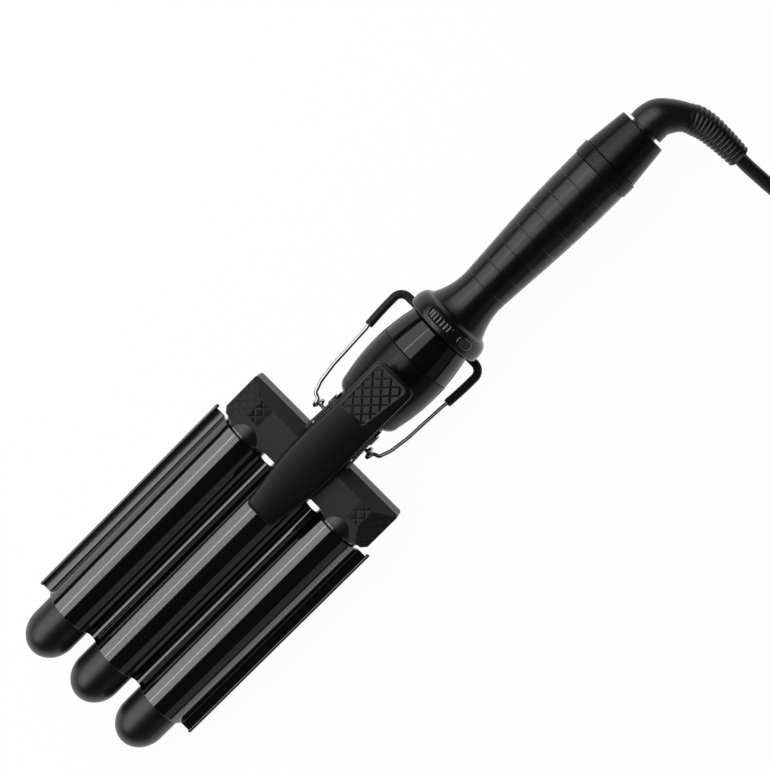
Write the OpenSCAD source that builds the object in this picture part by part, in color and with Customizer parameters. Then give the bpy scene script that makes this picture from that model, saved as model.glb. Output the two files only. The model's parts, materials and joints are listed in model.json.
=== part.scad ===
// Three-barrel hair waver, lying on a table on its three tip caps and its folded stand.
//
// Tool frame: +X runs along the tool from the back of the barrel block to the cord,
// +Z is the lever side and the axis of the middle barrel is z = 0.
// Left is the +Y side. laid() puts the tool frame down on the table at z = 0.

/* [Barrels] */
// Outer diameter of a heated barrel
barrel_d = 25; // [19:0.5:32]
// Distance between the axes of two neighbouring barrels
barrel_pitch = 31; // [29:0.5:40]
// Wall of a barrel tube
barrel_wall = 1.2; // [0.8:0.1:2]
// Length of barrel tube held inside the block
barrel_seat = 16.3; // [10:0.1:20]
// How far a tip cap stands proud of its barrel, on radius
cap_proud = 0.2; // [0.1:0.05:0.6]
// Length of the straight part of a tip cap
cap_len = 15; // [8:0.5:30]
// Length of the rounded end of a tip cap
dome_len = 14.7; // [10:0.1:20]
// Length of the plug of a tip cap inside its tube
plug_len = 8; // [4:0.5:12]
// Thickness of a flat ceramic heater
heater_t = 2.6; // [1.5:0.1:4]
// Width of a flat ceramic heater
heater_w = 12; // [6:0.5:16]
// Length of a flat ceramic heater
heater_len = 100; // [60:1:110]

/* [Wave plate] */
// Length of the wave plate
plate_len = 125.2; // [90:0.5:160]
// Overall width of the wave plate with its rolled rims
plate_w = 103.9; // [102:0.1:116]
// Sheet thickness of the wave plate
plate_t = 1.2; // [0.8:0.1:1.4]
// Gap left for the hair between a barrel and its arch
hair_gap = 0.7; // [0.5:0.05:1.5]
// Radius of the fold between two arches, on top
valley_r = 3; // [2.5:0.1:4]
// Radius of the fold between an outer arch and its lip, on top
lip_fold_r = 1.5; // [1:0.1:3]
// Height of the top of the side lips above the barrel axes
lip_z = 1.6; // [1.5:0.1:4]
// Radius of the rolled rim at the edge of a lip
rim_r = 0.9; // [0.6:0.05:1.4]
// How far the rolled rims run past the ends of the sheet
rim_over = 0.7; // [0.2:0.1:2]
// Gap between the wave plate and the front of the block
plate_gap = 2; // [1.9:0.1:4]
// Length of the tip caps that the wave plate covers
cap_cover = 2; // [0:0.5:5]

/* [Block] */
// Width of the block across the three barrels
block_w = 95.4; // [94:0.2:108]
// Distance from the frame's zero to the front of the block
block_len = 24.3; // [22:0.1:34]
// Distance from the frame's zero to the back of the block
block_back = -0.9; // [-1.2:0.1:0.8]
// Height of the block
block_h = 28.8; // [27:0.1:36]
// Width of the flat top of the block
block_top_w = 74.6; // [60:0.2:84]
// Length of the front slope of the block's top
front_slope = 7.2; // [4:0.1:9]
// Height of the front slope of the block's top
front_drop = 3; // [2:0.1:5]
// Length of the rear slope of the block's top
rear_slope = 5.6; // [3:0.1:8]
// Height of the rear slope of the block's top
rear_drop = 7.4; // [3:0.1:9]
// Height of the slope at each end of the block
end_drop = 6.4; // [3:0.1:10]
// Corner cut at the front of each end of the block
corner_cut = 2.4; // [1:0.1:5]
// Gap between the two halves of the block
seam = 0.1; // [0.05:0.05:0.3]
// Outer radius of a collar less that of its barrel
collar_t = 0.8; // [0.5:0.1:1.5]

/* [Neck and bracket] */
// Length of the neck between block and round body
neck_len = 22.2; // [22:0.1:30]
// Half width of the neck at the block
neck_half = 12.9; // [11:0.1:13.5]
// How much narrower the neck is on each side at the round body
neck_taper = 0.9; // [0:0.1:1.2]
// Top of the neck above the axis
neck_top = 4; // [2:0.1:5]
// Bottom of the neck below the axis
neck_deep = 9.9; // [8:0.1:12]
// Radius of the neck's spigot in the round body
spigot_r = 9; // [7:0.1:10]
// Sheet thickness of the steel bracket
bracket_t = 1.2; // [0.8:0.1:1.6]
// Clearance on each side of the neck inside the bracket
bracket_gap = 0.3; // [0.1:0.05:0.6]
// Place of the lever pivot along the tool
pivot_x = 17.5; // [16:0.1:18]
// Height of the lever pivot above the axis
pivot_z = 11; // [10:0.1:12]
// Radius of the lever's pivot pin
pivot_r = 2; // [1.5:0.1:2.5]
// Running clearance on radius of pins in the parts they carry
running = 0.07; // [0.02:0.01:0.1]

/* [Lever] */
// Half width of the lever where it passes the bracket
lever_half = 12.8; // [11:0.1:13]
// Thickness of the lever's top wall
lever_t = 2.6; // [2:0.1:3.2]
// Clearance between the lever and the top of the block
lever_clear = 0.6; // [0.4:0.1:1.2]
// Distance from the pivot to the front end of the lever
lever_front = 64.7; // [54:0.1:80]
// Distance from the pivot to the pad end of the lever
lever_back = 32.9; // [30:0.1:36]
// Height of the lever's top above the pivot
lever_rise = 9.4; // [9:0.1:10.5]
// Slope of the pad end in degrees
pad_slope = 19.8; // [18:0.1:23]
// Length of the pad
pad_len = 31.2; // [24:0.1:31.5]
// Width of the pad at its rear end
pad_w = 19.4; // [14:0.1:20]
// Width of the pad at its front end
pad_front_w = 15.6; // [12:0.1:18]
// How far the pad's front end sits off the middle, towards the left
pad_front_off = 2.2; // [0:0.1:2.4]
// How far the pad's rear end sits off the middle, towards the left
pad_off = 1; // [0:0.1:1.1]
// How deep the pad sits in the lever
pad_seat = 1.2; // [0.6:0.1:1.4]
// How far the pad stands out of the lever
pad_proud = 0.8; // [0.4:0.1:1.5]

/* [Stand] */
// Diameter of the stand wire
wire_d = 2; // [1.6:0.1:2.2]
// Outer diameter of the sleeve on the stand wire
sleeve_d = 4.3; // [3.4:0.1:4.4]
// Place of the stand's hinge along the tool
hinge_x = 8.8; // [8:0.1:10]
// Height of the stand's hinge
hinge_z = -3; // [-4:0.1:-2]
// Radius of a hinge pin of the stand
hinge_r = 0.92; // [0.8:0.02:0.94]
// Mean radius of the wire eyes
eye_r = 2.15; // [2.15:0.05:2.6]
// Step from curl to curl of an eye
eye_pitch = 2.5; // [2.45:0.05:2.8]
// Half of the distance between the legs at the crossbar
stand_half = 27.5; // [27:0.1:31]
// How far the stand sits off the middle, towards the left
stand_off = 0.5; // [0:0.1:1]
// Gap between the sleeve and the round body above it
stand_gap = 0.5; // [0.3:0.1:1.5]

/* [Round body] */
// Length of the front shell of the round body
front_len = 35.8; // [30:0.1:45]
// Length of the rear shell of the round body
rear_len = 17.2; // [14:0.1:24]
// Largest radius of the round body
body_r = 20.3; // [18:0.1:20.5]
// Radius of the lengthwise bow of the round body, behind its belly
body_bow = 95; // [80:1:140]
// Radius of the lengthwise bow of the round body, in front of its belly
front_bow = 106; // [95:1:160]
// Radius of the rounded front edge
nose_r = 6; // [2:0.1:6]
// Wall of the moulded shells
shell_wall = 2.2; // [1.6:0.1:2.6]
// Clearance between spigots and the bores they sit in
spigot_gap = 0.05; // [0.02:0.01:0.1]

/* [Handle] */
// Gap between the round body and the control ring
ring_gap = 0.8; // [0.4:0.1:2]
// Radius of the control ring
ring_r = 20.7; // [20.2:0.1:22]
// Length of the straight part of the control ring
ring_len = 3.4; // [3:0.1:6]
// Length of the rounded shoulder of the control ring
shoulder_len = 6.5; // [5:0.1:8]
// Height of the rounded shoulder of the control ring
shoulder_h = 4.1; // [3:0.1:5]
// Length of the flare between the ring and the waist
flare_len = 17; // [14:0.5:26]
// Radius of the waist of the handle
waist_r = 12; // [11:0.1:13.5]
// Length of the grip from the waist to the rear band
grip_len = 77.6; // [76:0.1:100]
// Radius of the grip at its thickest
grip_r = 15.1; // [13.5:0.1:16]
// Number of grooves round the grip
grooves = 7; // [3:1:7]
// Distance between two grooves
groove_pitch = 10.6; // [8:0.1:10.6]
// Width of a groove
groove_w = 0.8; // [0.4:0.1:1.5]
// Depth of a groove
groove_deep = 0.5; // [0.2:0.1:1]
// Length of the rear band
band_len = 7.3; // [5:0.1:10]
// Radius of the rear band
band_r = 15.7; // [14.5:0.1:16.5]
// Length of the end cap
end_len = 21; // [19:0.1:30]
// Radius of the end cap at the band
end_r0 = 14.9; // [14:0.1:15.5]
// Radius of the end cap at the cord
end_r1 = 12.8; // [12:0.1:14]

/* [Controls] */
// Radius of the temperature wheel
dial_r = 10; // [8:0.1:10.2]
// Width of the temperature wheel
dial_w = 4.4; // [3.5:0.1:4.6]
// How far the temperature wheel stands out of the ring
dial_proud = 0.7; // [0.4:0.1:1]
// Number of ridges on the temperature wheel
dial_ridges = 26; // [18:1:30]
// Turn of the temperature wheel from the top, towards the left
dial_angle = 12.5; // [8:0.5:16]
// Turn of the power button from the top, towards the right
button_angle = 34; // [33:0.5:40]
// Length of the power button round the ring
button_len = 9; // [6:0.1:9.4]
// Width of the power button along the tool
button_w = 5.2; // [4:0.1:5.4]
// Clearance round the button and the wheel
control_gap = 0.2; // [0.15:0.05:0.3]

/* [Cord] */
// Diameter of the cord
cord_d = 6.8; // [5:0.1:7]
// Radius of the swivel's neck in the end cap
swivel_r = 7; // [5:0.1:8]
// Droop of the cord's strain relief about the tool's axis
relief_droop = 15; // [0:1:30]
// Radius of a coil at the middle of its turns
coil_r = 36; // [32:0.5:42]
// Turns of the coil in each layer
coil_turns = 1.5; // [1.5:1:2.5]
// Step from one turn of the coil to the next
coil_pitch = 7.45; // [7.3:0.05:8]
// Length of the plug's body
plug_body_len = 34; // [28:1:45]
// Thickness of the plug's body
plug_body_h = 13.6; // [13:0.1:20]
// Width of the plug's body
plug_body_w = 34; // [30:1:40]
// Diameter of the plug's pins
pin_d = 4; // [3.9:0.1:5]
// Length of the plug's pins
pin_len = 19; // [15:0.5:20]
// Distance between the plug's pins
pin_gap = 18.6; // [17:0.1:20]

/* [Hidden] */

// Fineness of the true curves and of the wound forms
fine = 96;
hair = 0.01;

// Heights and radii that follow from the barrels
barrel_r = barrel_d / 2;
cap_r = barrel_r + cap_proud;
arch_in = barrel_r + hair_gap;
arch_out = arch_in + plate_t;
collar_r = barrel_r + collar_t;
block_top = block_h / 2;

// Stations along the tool, from the block to both ends
plate_x1 = -block_len - plate_gap;
plate_x0 = plate_x1 - plate_len;
tube_x0 = plate_x0 + cap_cover;
tube_x1 = -block_len + barrel_seat;
dome_x = tube_x0 - cap_len;
tip_x = dome_x - dome_len;
nose_x = neck_len;
spigot_x = neck_len - 1;
seam_x = nose_x + front_len;
body_x = seam_x + rear_len;
ring_x = body_x + ring_gap;
shoulder_x = ring_x + ring_len;
flare_x = shoulder_x + shoulder_len;
waist_x = flare_x + flare_len;
band_x = waist_x + grip_len;
end_x = band_x + band_len;
cord_x = end_x + end_len;

// Where the round body is thickest
belly_x = seam_x - 7;

// Stand: the tangent from the eye to the crossbar
crossbar_x = body_x - 1.8;
crossbar_z = -(round_r(crossbar_x - sleeve_d / 2) + sleeve_d / 2 + stand_gap);
stand_reach = norm([crossbar_x - hinge_x, crossbar_z - hinge_z]);
stand_fall = atan2(crossbar_z - hinge_z, crossbar_x - hinge_x) - asin(eye_r / stand_reach);
stand_leg = sqrt(stand_reach * stand_reach - eye_r * eye_r);

// Rest on the table: the floor touches the tip caps and the crossbar's sleeve
function cap_reach(t) = norm([dome_len * sin(t), cap_r * cos(t)]);
function tilt_step(t) =
    asin((cos(t) * -crossbar_z + sleeve_d / 2 - cap_reach(t)) / (crossbar_x - dome_x));
rest_tilt = tilt_step(tilt_step(tilt_step(tilt_step(2))));
lift = cap_reach(rest_tilt) - dome_x * sin(rest_tilt);
row_x0 = dome_x * cos(rest_tilt) - norm([dome_len * cos(rest_tilt), cap_r * sin(rest_tilt)]);
row_x1 = cord_x * cos(rest_tilt) + (end_r1 - 0.8) * sin(rest_tilt);
shift = -(row_x0 + row_x1) / 2;

function laid_point(p) = [
    p[0] * cos(rest_tilt) - p[2] * sin(rest_tilt) + shift,
    p[1],
    p[0] * sin(rest_tilt) + p[2] * cos(rest_tilt) + lift
];

module laid() {
    translate([shift, 0, lift]) rotate([0, -rest_tilt, 0]) children();
}

// ---------------------------------------------------------------- helpers

// A solid of revolution about the tool's axis from points [x, radius]
module turned(points) {
    rotate([0, 90, 0]) rotate_extrude($fn = fine) polygon([for (p = points) [p[1], p[0]]]);
}

// A rod along +X
module rod(x, r, len) {
    translate([x, 0, 0]) rotate([0, 90, 0]) cylinder(r = r, h = len, $fn = fine);
}

// A rod along Y through the tool's middle plane
module cross_rod(x, z, r, half) {
    translate([x, -half, z]) rotate([-90, 0, 0]) cylinder(r = r, h = 2 * half, $fn = fine);
}

// A side view [x, z] made as wide as asked
module side_view(width) {
    rotate([90, 0, 0]) linear_extrude(width, center = true) children();
}

// A front view [y, z] made as long as asked along +X
module front_view(x, len) {
    translate([x, 0, 0]) rotate([90, 0, 90]) linear_extrude(len) children();
}

// A closed skin over rings of points, all with the same count, in triangles
module skin(rings) {
    n = len(rings[0]);
    last = (len(rings) - 1) * n;
    polyhedron(
        points = [for (ring = rings) each ring],
        faces = concat(
            [for (j = [1:n - 2]) [0, j, j + 1]],
            [for (i = [0:len(rings) - 2], j = [0:n - 1])
                [i * n + j, (i + 1) * n + j, (i + 1) * n + (j + 1) % n]],
            [for (i = [0:len(rings) - 2], j = [0:n - 1])
                [i * n + j, (i + 1) * n + (j + 1) % n, i * n + (j + 1) % n]],
            [for (j = [1:n - 2]) [last, last + j + 1, last + j]]
        ),
        convexity = 12
    );
}

function unit(v) = v / norm(v);
function heading(path, i) =
    i == 0 ? unit(path[1] - path[0]) :
    i == len(path) - 1 ? unit(path[i] - path[i - 1]) :
    unit(unit(path[i + 1] - path[i]) + unit(path[i] - path[i - 1]));
function carry(path, n, i = 0, done = []) =
    i == len(path) ? done :
    let (t = heading(path, i), m = unit(n - (n * t) * t))
    carry(path, m, i + 1, concat(done, [m]));

// Rings of a round tube along a path, with a radius for each of its points
function tube_rings(path, radii, sides, up) =
    let (normals = carry(path, up))
    [for (i = [0:len(path) - 1])
        let (t = heading(path, i), n = normals[i], b = cross(t, n))
        [for (j = [0:sides - 1])
            path[i] + radii[i] * (cos(360 * j / sides) * n + sin(360 * j / sides) * b)]];

module tube(path, r, sides, up) {
    skin(tube_rings(path, [for (p = path) r], sides, up));
}

// Points of a smooth curve through hand-set points, with steps between each two
function pick(p, i) = p[max(0, min(len(p) - 1, i))];
function smooth(p, steps) = concat(
    [for (i = [0:len(p) - 2], k = [0:steps - 1])
        let (t = k / steps, a = pick(p, i - 1), b = p[i], c = p[i + 1], d = pick(p, i + 2))
        (2 * b + (c - a) * t + (2 * a - 5 * b + 4 * c - d) * t * t
            + (3 * b - a - 3 * c + d) * t * t * t) / 2],
    [p[len(p) - 1]]);

function mirrored(path) = [for (i = [len(path) - 1:-1:0]) [path[i][0], -path[i][1], path[i][2]]];

// Radius of the round body along the tool
function round_r(x) = body_r - pow(x - belly_x, 2) / (2 * (x < belly_x ? front_bow : body_bow));

// Radius of the handle behind the control ring
function shoulder_r(x) =
    ring_r - shoulder_h + shoulder_h * sqrt(max(0, 1 - pow((x - shoulder_x) / shoulder_len, 2)));
function flare_r(x) =
    waist_r + (ring_r - shoulder_h - waist_r) * pow((waist_x - x) / flare_len, 2);
function grip_at(x) = waist_r + (grip_r - waist_r) * pow(sin(min(90, 1.35 * (x - waist_x))), 1.2);
function handle_r(x) = x < flare_x ? shoulder_r(x) : x < waist_x ? flare_r(x) : grip_at(x);

// ---------------------------------------------------------------- barrels

module barrel(side) {
    translate([0, side * barrel_pitch, 0])
    difference() {
        rod(tube_x0, barrel_r, tube_x1 - tube_x0);
        rod(tube_x0 - 1, barrel_r - barrel_wall, tube_x1 - tube_x0 + 2);
    }
}

module tip_cap(side) {
    dome = [for (a = [0:7.5:90]) [dome_x - dome_len * sin(a), cap_r * cos(a)]];
    plug_r = barrel_r - barrel_wall - spigot_gap;
    translate([0, side * barrel_pitch, 0])
    turned(concat(
        [[tube_x0 + plug_len, 0], [tube_x0 + plug_len, plug_r - 0.6], [tube_x0 + plug_len - 0.6, plug_r]],
        [[tube_x0 - hair, plug_r], [tube_x0 - hair, cap_r]],
        dome
    ));
}

module heater(side) {
    translate([tube_x1 - 8 - heater_len, side * barrel_pitch - heater_w / 2, -heater_t / 2])
    cube([heater_len, heater_w, heater_t]);
}

module barrel_left() laid() color("#141416") barrel(1);
module barrel_middle() laid() color("#141416") barrel(0);
module barrel_right() laid() color("#141416") barrel(-1);
module tip_cap_left() laid() color("#1d1d1f") tip_cap(1);
module tip_cap_middle() laid() color("#1d1d1f") tip_cap(0);
module tip_cap_right() laid() color("#1d1d1f") tip_cap(-1);
module heater_left() laid() color("#e8e2d4") heater(1);
module heater_middle() laid() color("#e8e2d4") heater(0);
module heater_right() laid() color("#e8e2d4") heater(-1);

// Two half-round aluminium bars press each flat heater against its tube
module heat_spreaders() laid() color("#b9bcc0") {
    for (side = [-1, 0, 1], over = [-1, 1])
        translate([0, side * barrel_pitch, 0])
        intersection() {
            rod(tube_x1 - 8 - heater_len, barrel_r - barrel_wall - 0.1, heater_len);
            translate([tube_x1 - 9 - heater_len, -barrel_r, over > 0 ? heater_t / 2 + 0.05 : -barrel_d])
            cube([heater_len + 2, barrel_d, barrel_d - (over > 0 ? 0 : heater_t / 2 + 0.05)]);
        }
}

// ---------------------------------------------------------------- block

module block_outline() {
    half = block_w / 2;
    top = block_top_w / 2;
    intersection() {
        side_view(block_w + 2) polygon([
            [block_back, -block_top + rear_drop], [block_back, block_top - rear_drop],
            [block_back - rear_slope, block_top], [-block_len + front_slope, block_top],
            [-block_len, block_top - front_drop], [-block_len, -block_top + front_drop],
            [-block_len + front_slope, -block_top], [block_back - rear_slope, -block_top]
        ]);
        front_view(-block_len - 1, block_len + 4) polygon([
            [half, end_drop - block_top], [half, block_top - end_drop],
            [top, block_top], [-top, block_top],
            [-half, block_top - end_drop], [-half, end_drop - block_top],
            [-top, -block_top], [top, -block_top]
        ]);
        translate([0, 0, -block_h]) linear_extrude(2 * block_h) polygon([
            [block_back, 1 - half], [block_back, half - 1], [block_back - 1, half],
            [corner_cut - block_len, half], [-block_len, half - corner_cut],
            [-block_len, corner_cut - half], [corner_cut - block_len, -half], [block_back - 1, -half]
        ]);
    }
}

// Cone round the foot of each barrel, on the front of the block
module barrel_bosses() {
    intersection() {
        for (side = [-1, 0, 1])
            translate([-block_len - 1.6, side * barrel_pitch, 0]) rotate([0, 90, 0])
            cylinder(r1 = collar_r + 0.1, r2 = collar_r + 1.8, h = 1.7, $fn = fine);
        translate([-block_len - 3, -block_w / 2, front_drop - block_top])
        cube([6, block_w, block_h - 2 * front_drop]);
    }
}

screw_places = [[-5.5, 21], [-5.5, -21], [-5.2, 44], [-5.2, -44]];

module block_half(over) {
    difference() {
        union() {
            block_outline();
            barrel_bosses();
        }
        translate([-60, -block_w, over > 0 ? -60 : -seam / 2]) cube([70, 2 * block_w, 60 + seam / 2]);
        for (side = [-1, 0, 1]) translate([0, side * barrel_pitch, 0]) {
            rod(-block_len - 5, barrel_r + spigot_gap, 5 + barrel_seat + 0.1);
            rod(-block_len - 5, collar_r + spigot_gap, 5 + 4.8);
            rod(-block_len, barrel_r - 4, barrel_seat + 3);
        }
        // wire way behind the barrels and the pocket for the neck
        translate([-6, -barrel_pitch - 2, -2.5]) cube([3.2, 2 * barrel_pitch + 4, 5]);
        translate([-6, 1.95 - neck_half, 1.9 - neck_deep])
        cube([9, 2 * neck_half - 3.9, neck_deep + neck_top - 3.8]);
        for (place = screw_places) translate([place[0], place[1], -block_top - 1]) {
            cylinder(r = 1.3 + spigot_gap, h = block_top + 8, $fn = 32);
            cylinder(r = 2.4 + spigot_gap, h = 1 + rear_drop, $fn = 32);
        }
    }
}

module block_upper() laid() color("#232326") block_half(1);
module block_lower() laid() color("#232326") block_half(-1);

module block_screws() laid() color("#8d8f92") {
    for (place = screw_places) translate([place[0], place[1], 0]) {
        translate([0, 0, rear_drop - block_top]) cylinder(r = 1.3, h = block_top - rear_drop + 6, $fn = 32);
        translate([0, 0, rear_drop - block_top - 2]) cylinder(r = 2.4, h = 2, $fn = 32);
    }
}

// A heat-proof ring round the foot of each barrel
module barrel_collars() laid() color("#2c2c2e") {
    for (side = [-1, 0, 1]) translate([0, side * barrel_pitch, 0])
        turned([
            [-block_len - 1.7, barrel_r + spigot_gap], [-block_len - 1.7, collar_r - 0.4],
            [-block_len - 1.3, collar_r], [-block_len + 4.7, collar_r],
            [-block_len + 4.7, barrel_r + spigot_gap]
        ]);
}

// ---------------------------------------------------------------- neck, bracket and pins

function neck_at(x) = neck_half - neck_taper * x / neck_len;
function ear_at(x) = neck_at(x) + bracket_gap + bracket_t;

// Everything between the tapering sides of the neck, with some room on each side
module neck_plan(room) {
    front = neck_at(-5) + room;
    rear = neck_at(40) + room;
    translate([0, 0, -60]) linear_extrude(120) polygon([[-5, -front], [40, -rear], [40, rear], [-5, front]]);
}

module neck() laid() color("#1a1a1c") {
    front = block_back + 0.1;
    difference() {
        union() {
            intersection() {
                front_view(front, neck_len - 0.3 - front) polygon([
                    [-neck_half, -neck_deep], [neck_half, -neck_deep],
                    [neck_half, neck_top - 1.5], [neck_half - 1.5, neck_top],
                    [1.5 - neck_half, neck_top], [-neck_half, neck_top - 1.5]
                ]);
                neck_plan(0);
                translate([0, 0, -60]) linear_extrude(120) polygon([
                    [-9, -neck_half], [neck_len - 3.6, -neck_half], [neck_len, 3.4 - neck_half],
                    [neck_len, neck_half - 3.4], [neck_len - 3.6, neck_half], [-9, neck_half]
                ]);
            }
            translate([-5.9, 2 - neck_half, 1.95 - neck_deep])
            cube([6.9 + front, 2 * neck_half - 4, neck_deep + neck_top - 3.9]);
            rod(spigot_x, spigot_r, 18 + neck_len - spigot_x);
        }
        rod(-8, 4.5, neck_len + 30);
        for (end = [-1, 1]) translate([hinge_x, end * 6, hinge_z]) rotate([-90 * end, 0, 0])
            cylinder(r = hinge_r + 0.02, h = neck_half, $fn = fine);
        for (x = [4.6, 17.6]) translate([x, 0, -neck_deep - 1])
            cylinder(r = 1.25, h = 5.6, $fn = 32);
    }
}

bracket_x = block_back + 0.4;
bracket_z = -neck_deep - 0.05 - bracket_t;

module pivot_bracket() laid() color("#c9cbce") {
    difference() {
        intersection() {
            side_view(60) {
                polygon([
                    [bracket_x, bracket_z], [neck_len - 0.8, bracket_z], [neck_len - 0.8, 2],
                    [pivot_x + 5, pivot_z], [pivot_x, pivot_z + 5], [bracket_x, pivot_z + 4.6]
                ]);
                translate([pivot_x, pivot_z]) circle(r = 5, $fn = fine);
            }
            neck_plan(bracket_gap + bracket_t);
        }
        translate([0, 0, bracket_z + bracket_t + 60]) neck_plan(bracket_gap);
        cross_rod(pivot_x, pivot_z, pivot_r + 0.02, 30);
        cross_rod(hinge_x, hinge_z, hinge_r + 0.02, 30);
        for (x = [4.6, 17.6]) translate([x, 0, bracket_z - 1]) cylinder(r = 1.5, h = 4, $fn = 32);
    }
}

module bracket_screws() laid() color("#8d8f92") {
    for (x = [4.6, 17.6]) translate([x, 0, bracket_z - 1.6]) {
        cylinder(r = 2.6, h = 1.6, $fn = 32);
        cylinder(r = 1.2, h = 1.6 + bracket_t + 4.4, $fn = 32);
    }
}

module pivot_pin() laid() color("#d4d6d8") {
    head = ear_at(pivot_x - pivot_r - 1) + 0.03;
    cross_rod(pivot_x, pivot_z, pivot_r, head + 0.2);
    for (end = [-1, 1]) translate([pivot_x, end * head, pivot_z]) rotate([-90 * end, 0, 0]) {
        cylinder(r = pivot_r + 1, h = 0.4, $fn = fine);
        translate([0, 0, 0.4]) cylinder(r1 = pivot_r + 1, r2 = pivot_r + 0.5, h = 0.3, $fn = fine);
    }
}

// Two short pins, pressed through the bracket's ears, carry the eyes of the stand
module stand_pins() laid() color("#b9bbbe") {
    for (end = [-1, 1]) translate([hinge_x, end * 6.1, hinge_z]) rotate([-90 * end, 0, 0]) {
        cylinder(r = hinge_r, h = leg_y + end * stand_off + wire_d / 2 - 6.2, $fn = fine);
    }
}

// ---------------------------------------------------------------- lever and wave plate

lever_x0 = pivot_x - lever_front;
lever_x1 = pivot_x + lever_back;
lever_top = pivot_z + lever_rise;
slope_x = pivot_x + 5.4;

function lever_z(x) =
    x < pivot_x - 2 ? lever_top - 0.45 * pow((pivot_x - 2 - x) / 17.5, 1.3) :
    x < slope_x + 4 ? lever_top + tan(pad_slope) * pow(x - pivot_x + 2, 2) / (2 * 11.4) :
    lever_top + tan(pad_slope) * (11.4 / 2 + x - slope_x - 4);

// Half outline of the lever across the tool: [share of the edge radius, half width, height]
function lever_ring(x, half, top, edge) =
    let (
        bottom = -2,
        crown = 0.5 * half / lever_half,
        right = concat(
            [[half, bottom]],
            [for (a = [0:30:90]) [half - edge + edge * cos(a), top - crown - edge + edge * sin(a)]],
            [[half * 0.45, top - crown * 0.2]]
        )
    )
    concat([for (p = right) [x, p[0], p[1]]],
        [for (i = [len(right) - 1:-1:0]) [x, -right[i][0], right[i][1]]]);

front_half = 8.3;
pad_half = pad_w / 2 + 1.9;
pad_wall = lever_t - 0.15;
function lever_at(x) = lever_half - neck_taper * x / neck_len;

module lever_blank() {
    skin([
        lever_ring(lever_x0, front_half - 1.6, lever_z(lever_x0) - 2.3, 0.9),
        lever_ring(lever_x0 + 0.5, front_half - 0.7, lever_z(lever_x0) - 1.2, 1.4),
        lever_ring(lever_x0 + 1.6, front_half - 0.1, lever_z(lever_x0) - 0.4, 1.9),
        lever_ring(lever_x0 + 4, front_half + 0.4, lever_z(lever_x0 + 4), 2.2),
        lever_ring(-block_len - 6, 10.6, lever_z(-block_len - 6), 2.5),
        lever_ring(front_slope - block_len, lever_half - 0.4, lever_z(front_slope - block_len), 2.6),
        lever_ring(0, lever_half, lever_z(0), 2.6),
        lever_ring(pivot_x - 6, lever_at(pivot_x - 6), lever_z(pivot_x - 6), 2.6),
        lever_ring(pivot_x - 2, lever_at(pivot_x - 2), lever_z(pivot_x - 2), 2.6),
        lever_ring(pivot_x + 1.8, lever_at(pivot_x + 1.8), lever_z(pivot_x + 1.8), 2.3),
        lever_ring(slope_x, pad_half + 0.2, lever_z(slope_x), 1.6),
        lever_ring(slope_x + 4, pad_half + 0.1, lever_z(slope_x + 4), 1.3),
        lever_ring(lever_x1 - 4, pad_half, lever_z(lever_x1 - 4), 1.2),
        lever_ring(lever_x1 - 1.6, pad_half - 0.8, lever_z(lever_x1 - 1.6), 1.2),
        lever_ring(lever_x1 - 0.5, pad_half - 2, lever_z(lever_x1 - 0.5) - 0.2, 1),
        lever_ring(lever_x1, pad_half - 3.6, lever_z(lever_x1) - 0.6, 0.8)
    ]);
}

// The pad's own frame: x up the slope of the lever, z square out of it
module on_pad() {
    start = lever_x1 - 1.6 - pad_len * cos(pad_slope);
    level = lever_z(start + 15) - 15 * tan(pad_slope) - 0.15;
    translate([start, 0, level]) rotate([0, -pad_slope, 0]) children();
}

module pad_outline(grow) {
    r = 2.4;
    front = pad_front_w / 2 + grow;
    back = pad_w / 2 + grow;
    polygon(concat(
        [for (a = [180:15:270]) [r - grow + r * cos(a), pad_front_off + r - front + r * sin(a)]],
        [for (a = [270:15:360]) [pad_len + grow - r + r * cos(a), pad_off + r - back + r * sin(a)]],
        [for (a = [0:15:90]) [pad_len + grow - r + r * cos(a), pad_off + back - r + r * sin(a)]],
        [for (a = [90:15:180]) [r - grow + r * cos(a), pad_front_off + front - r + r * sin(a)]]
    ));
}

rivet_places = [lever_x0 + 6, plate_x1 - 5];

module lever() laid() color("#17181c") {
    wall = 2.2;
    ceiling = concat(
        [for (x = [2, 8, pivot_x - 2]) [x, lever_z(x) - lever_t - 0.5]],
        [for (x = [pivot_x + 2, slope_x, slope_x + 4, lever_x1 - 2]) [x, lever_z(x) - pad_wall]]
    );
    past = 2 * lever_half;
    difference() {
        lever_blank();
        // saddle on the middle arch
        rod(lever_x0 - 10, arch_out + hair, plate_x1 - lever_x0 + 10 - 0.5);
        // free over the block and the barrels' feet
        translate([plate_x1 - 0.5, -past, -past])
        cube([1 - plate_x1, 2 * past, past + block_top + lever_clear]);
        // lower edge of the side walls
        side_view(2 * past) polygon([
            [0.4, -10], [0.4, block_top + lever_clear], [pivot_x - 9.3, 13.4], [pivot_x - 4.1, pivot_z - 2.8],
            [pivot_x - 2.2, pivot_z - 4.5], [pivot_x + 2, pivot_z - 4.5], [pivot_x + 3.8, pivot_z - 2.1],
            [pivot_x + 4.4, pivot_z + 1.4], [pivot_x + 6.6, pivot_z + 4.8],
            [slope_x + 5.3, lever_z(slope_x + 5.3) - pad_wall],
            [lever_x1 - 3, lever_z(lever_x1 - 3) - pad_wall], [lever_x1 + 5, lever_z(lever_x1 - 3) - 0.6],
            [lever_x1 + 5, -10]
        ]);
        // channel between the side walls
        side_view(2 * (lever_half - 0.4 - wall)) polygon(concat(ceiling, [[lever_x1 - 2, -10], [2, -10]]));
        on_pad() translate([0, 0, -pad_seat]) linear_extrude(6) pad_outline(0.1);
        cross_rod(pivot_x, pivot_z, pivot_r + running, past);
        for (x = rivet_places) translate([x, 0, 10]) cylinder(r = 1.5, h = 6.6, $fn = 32);
    }
}

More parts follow.
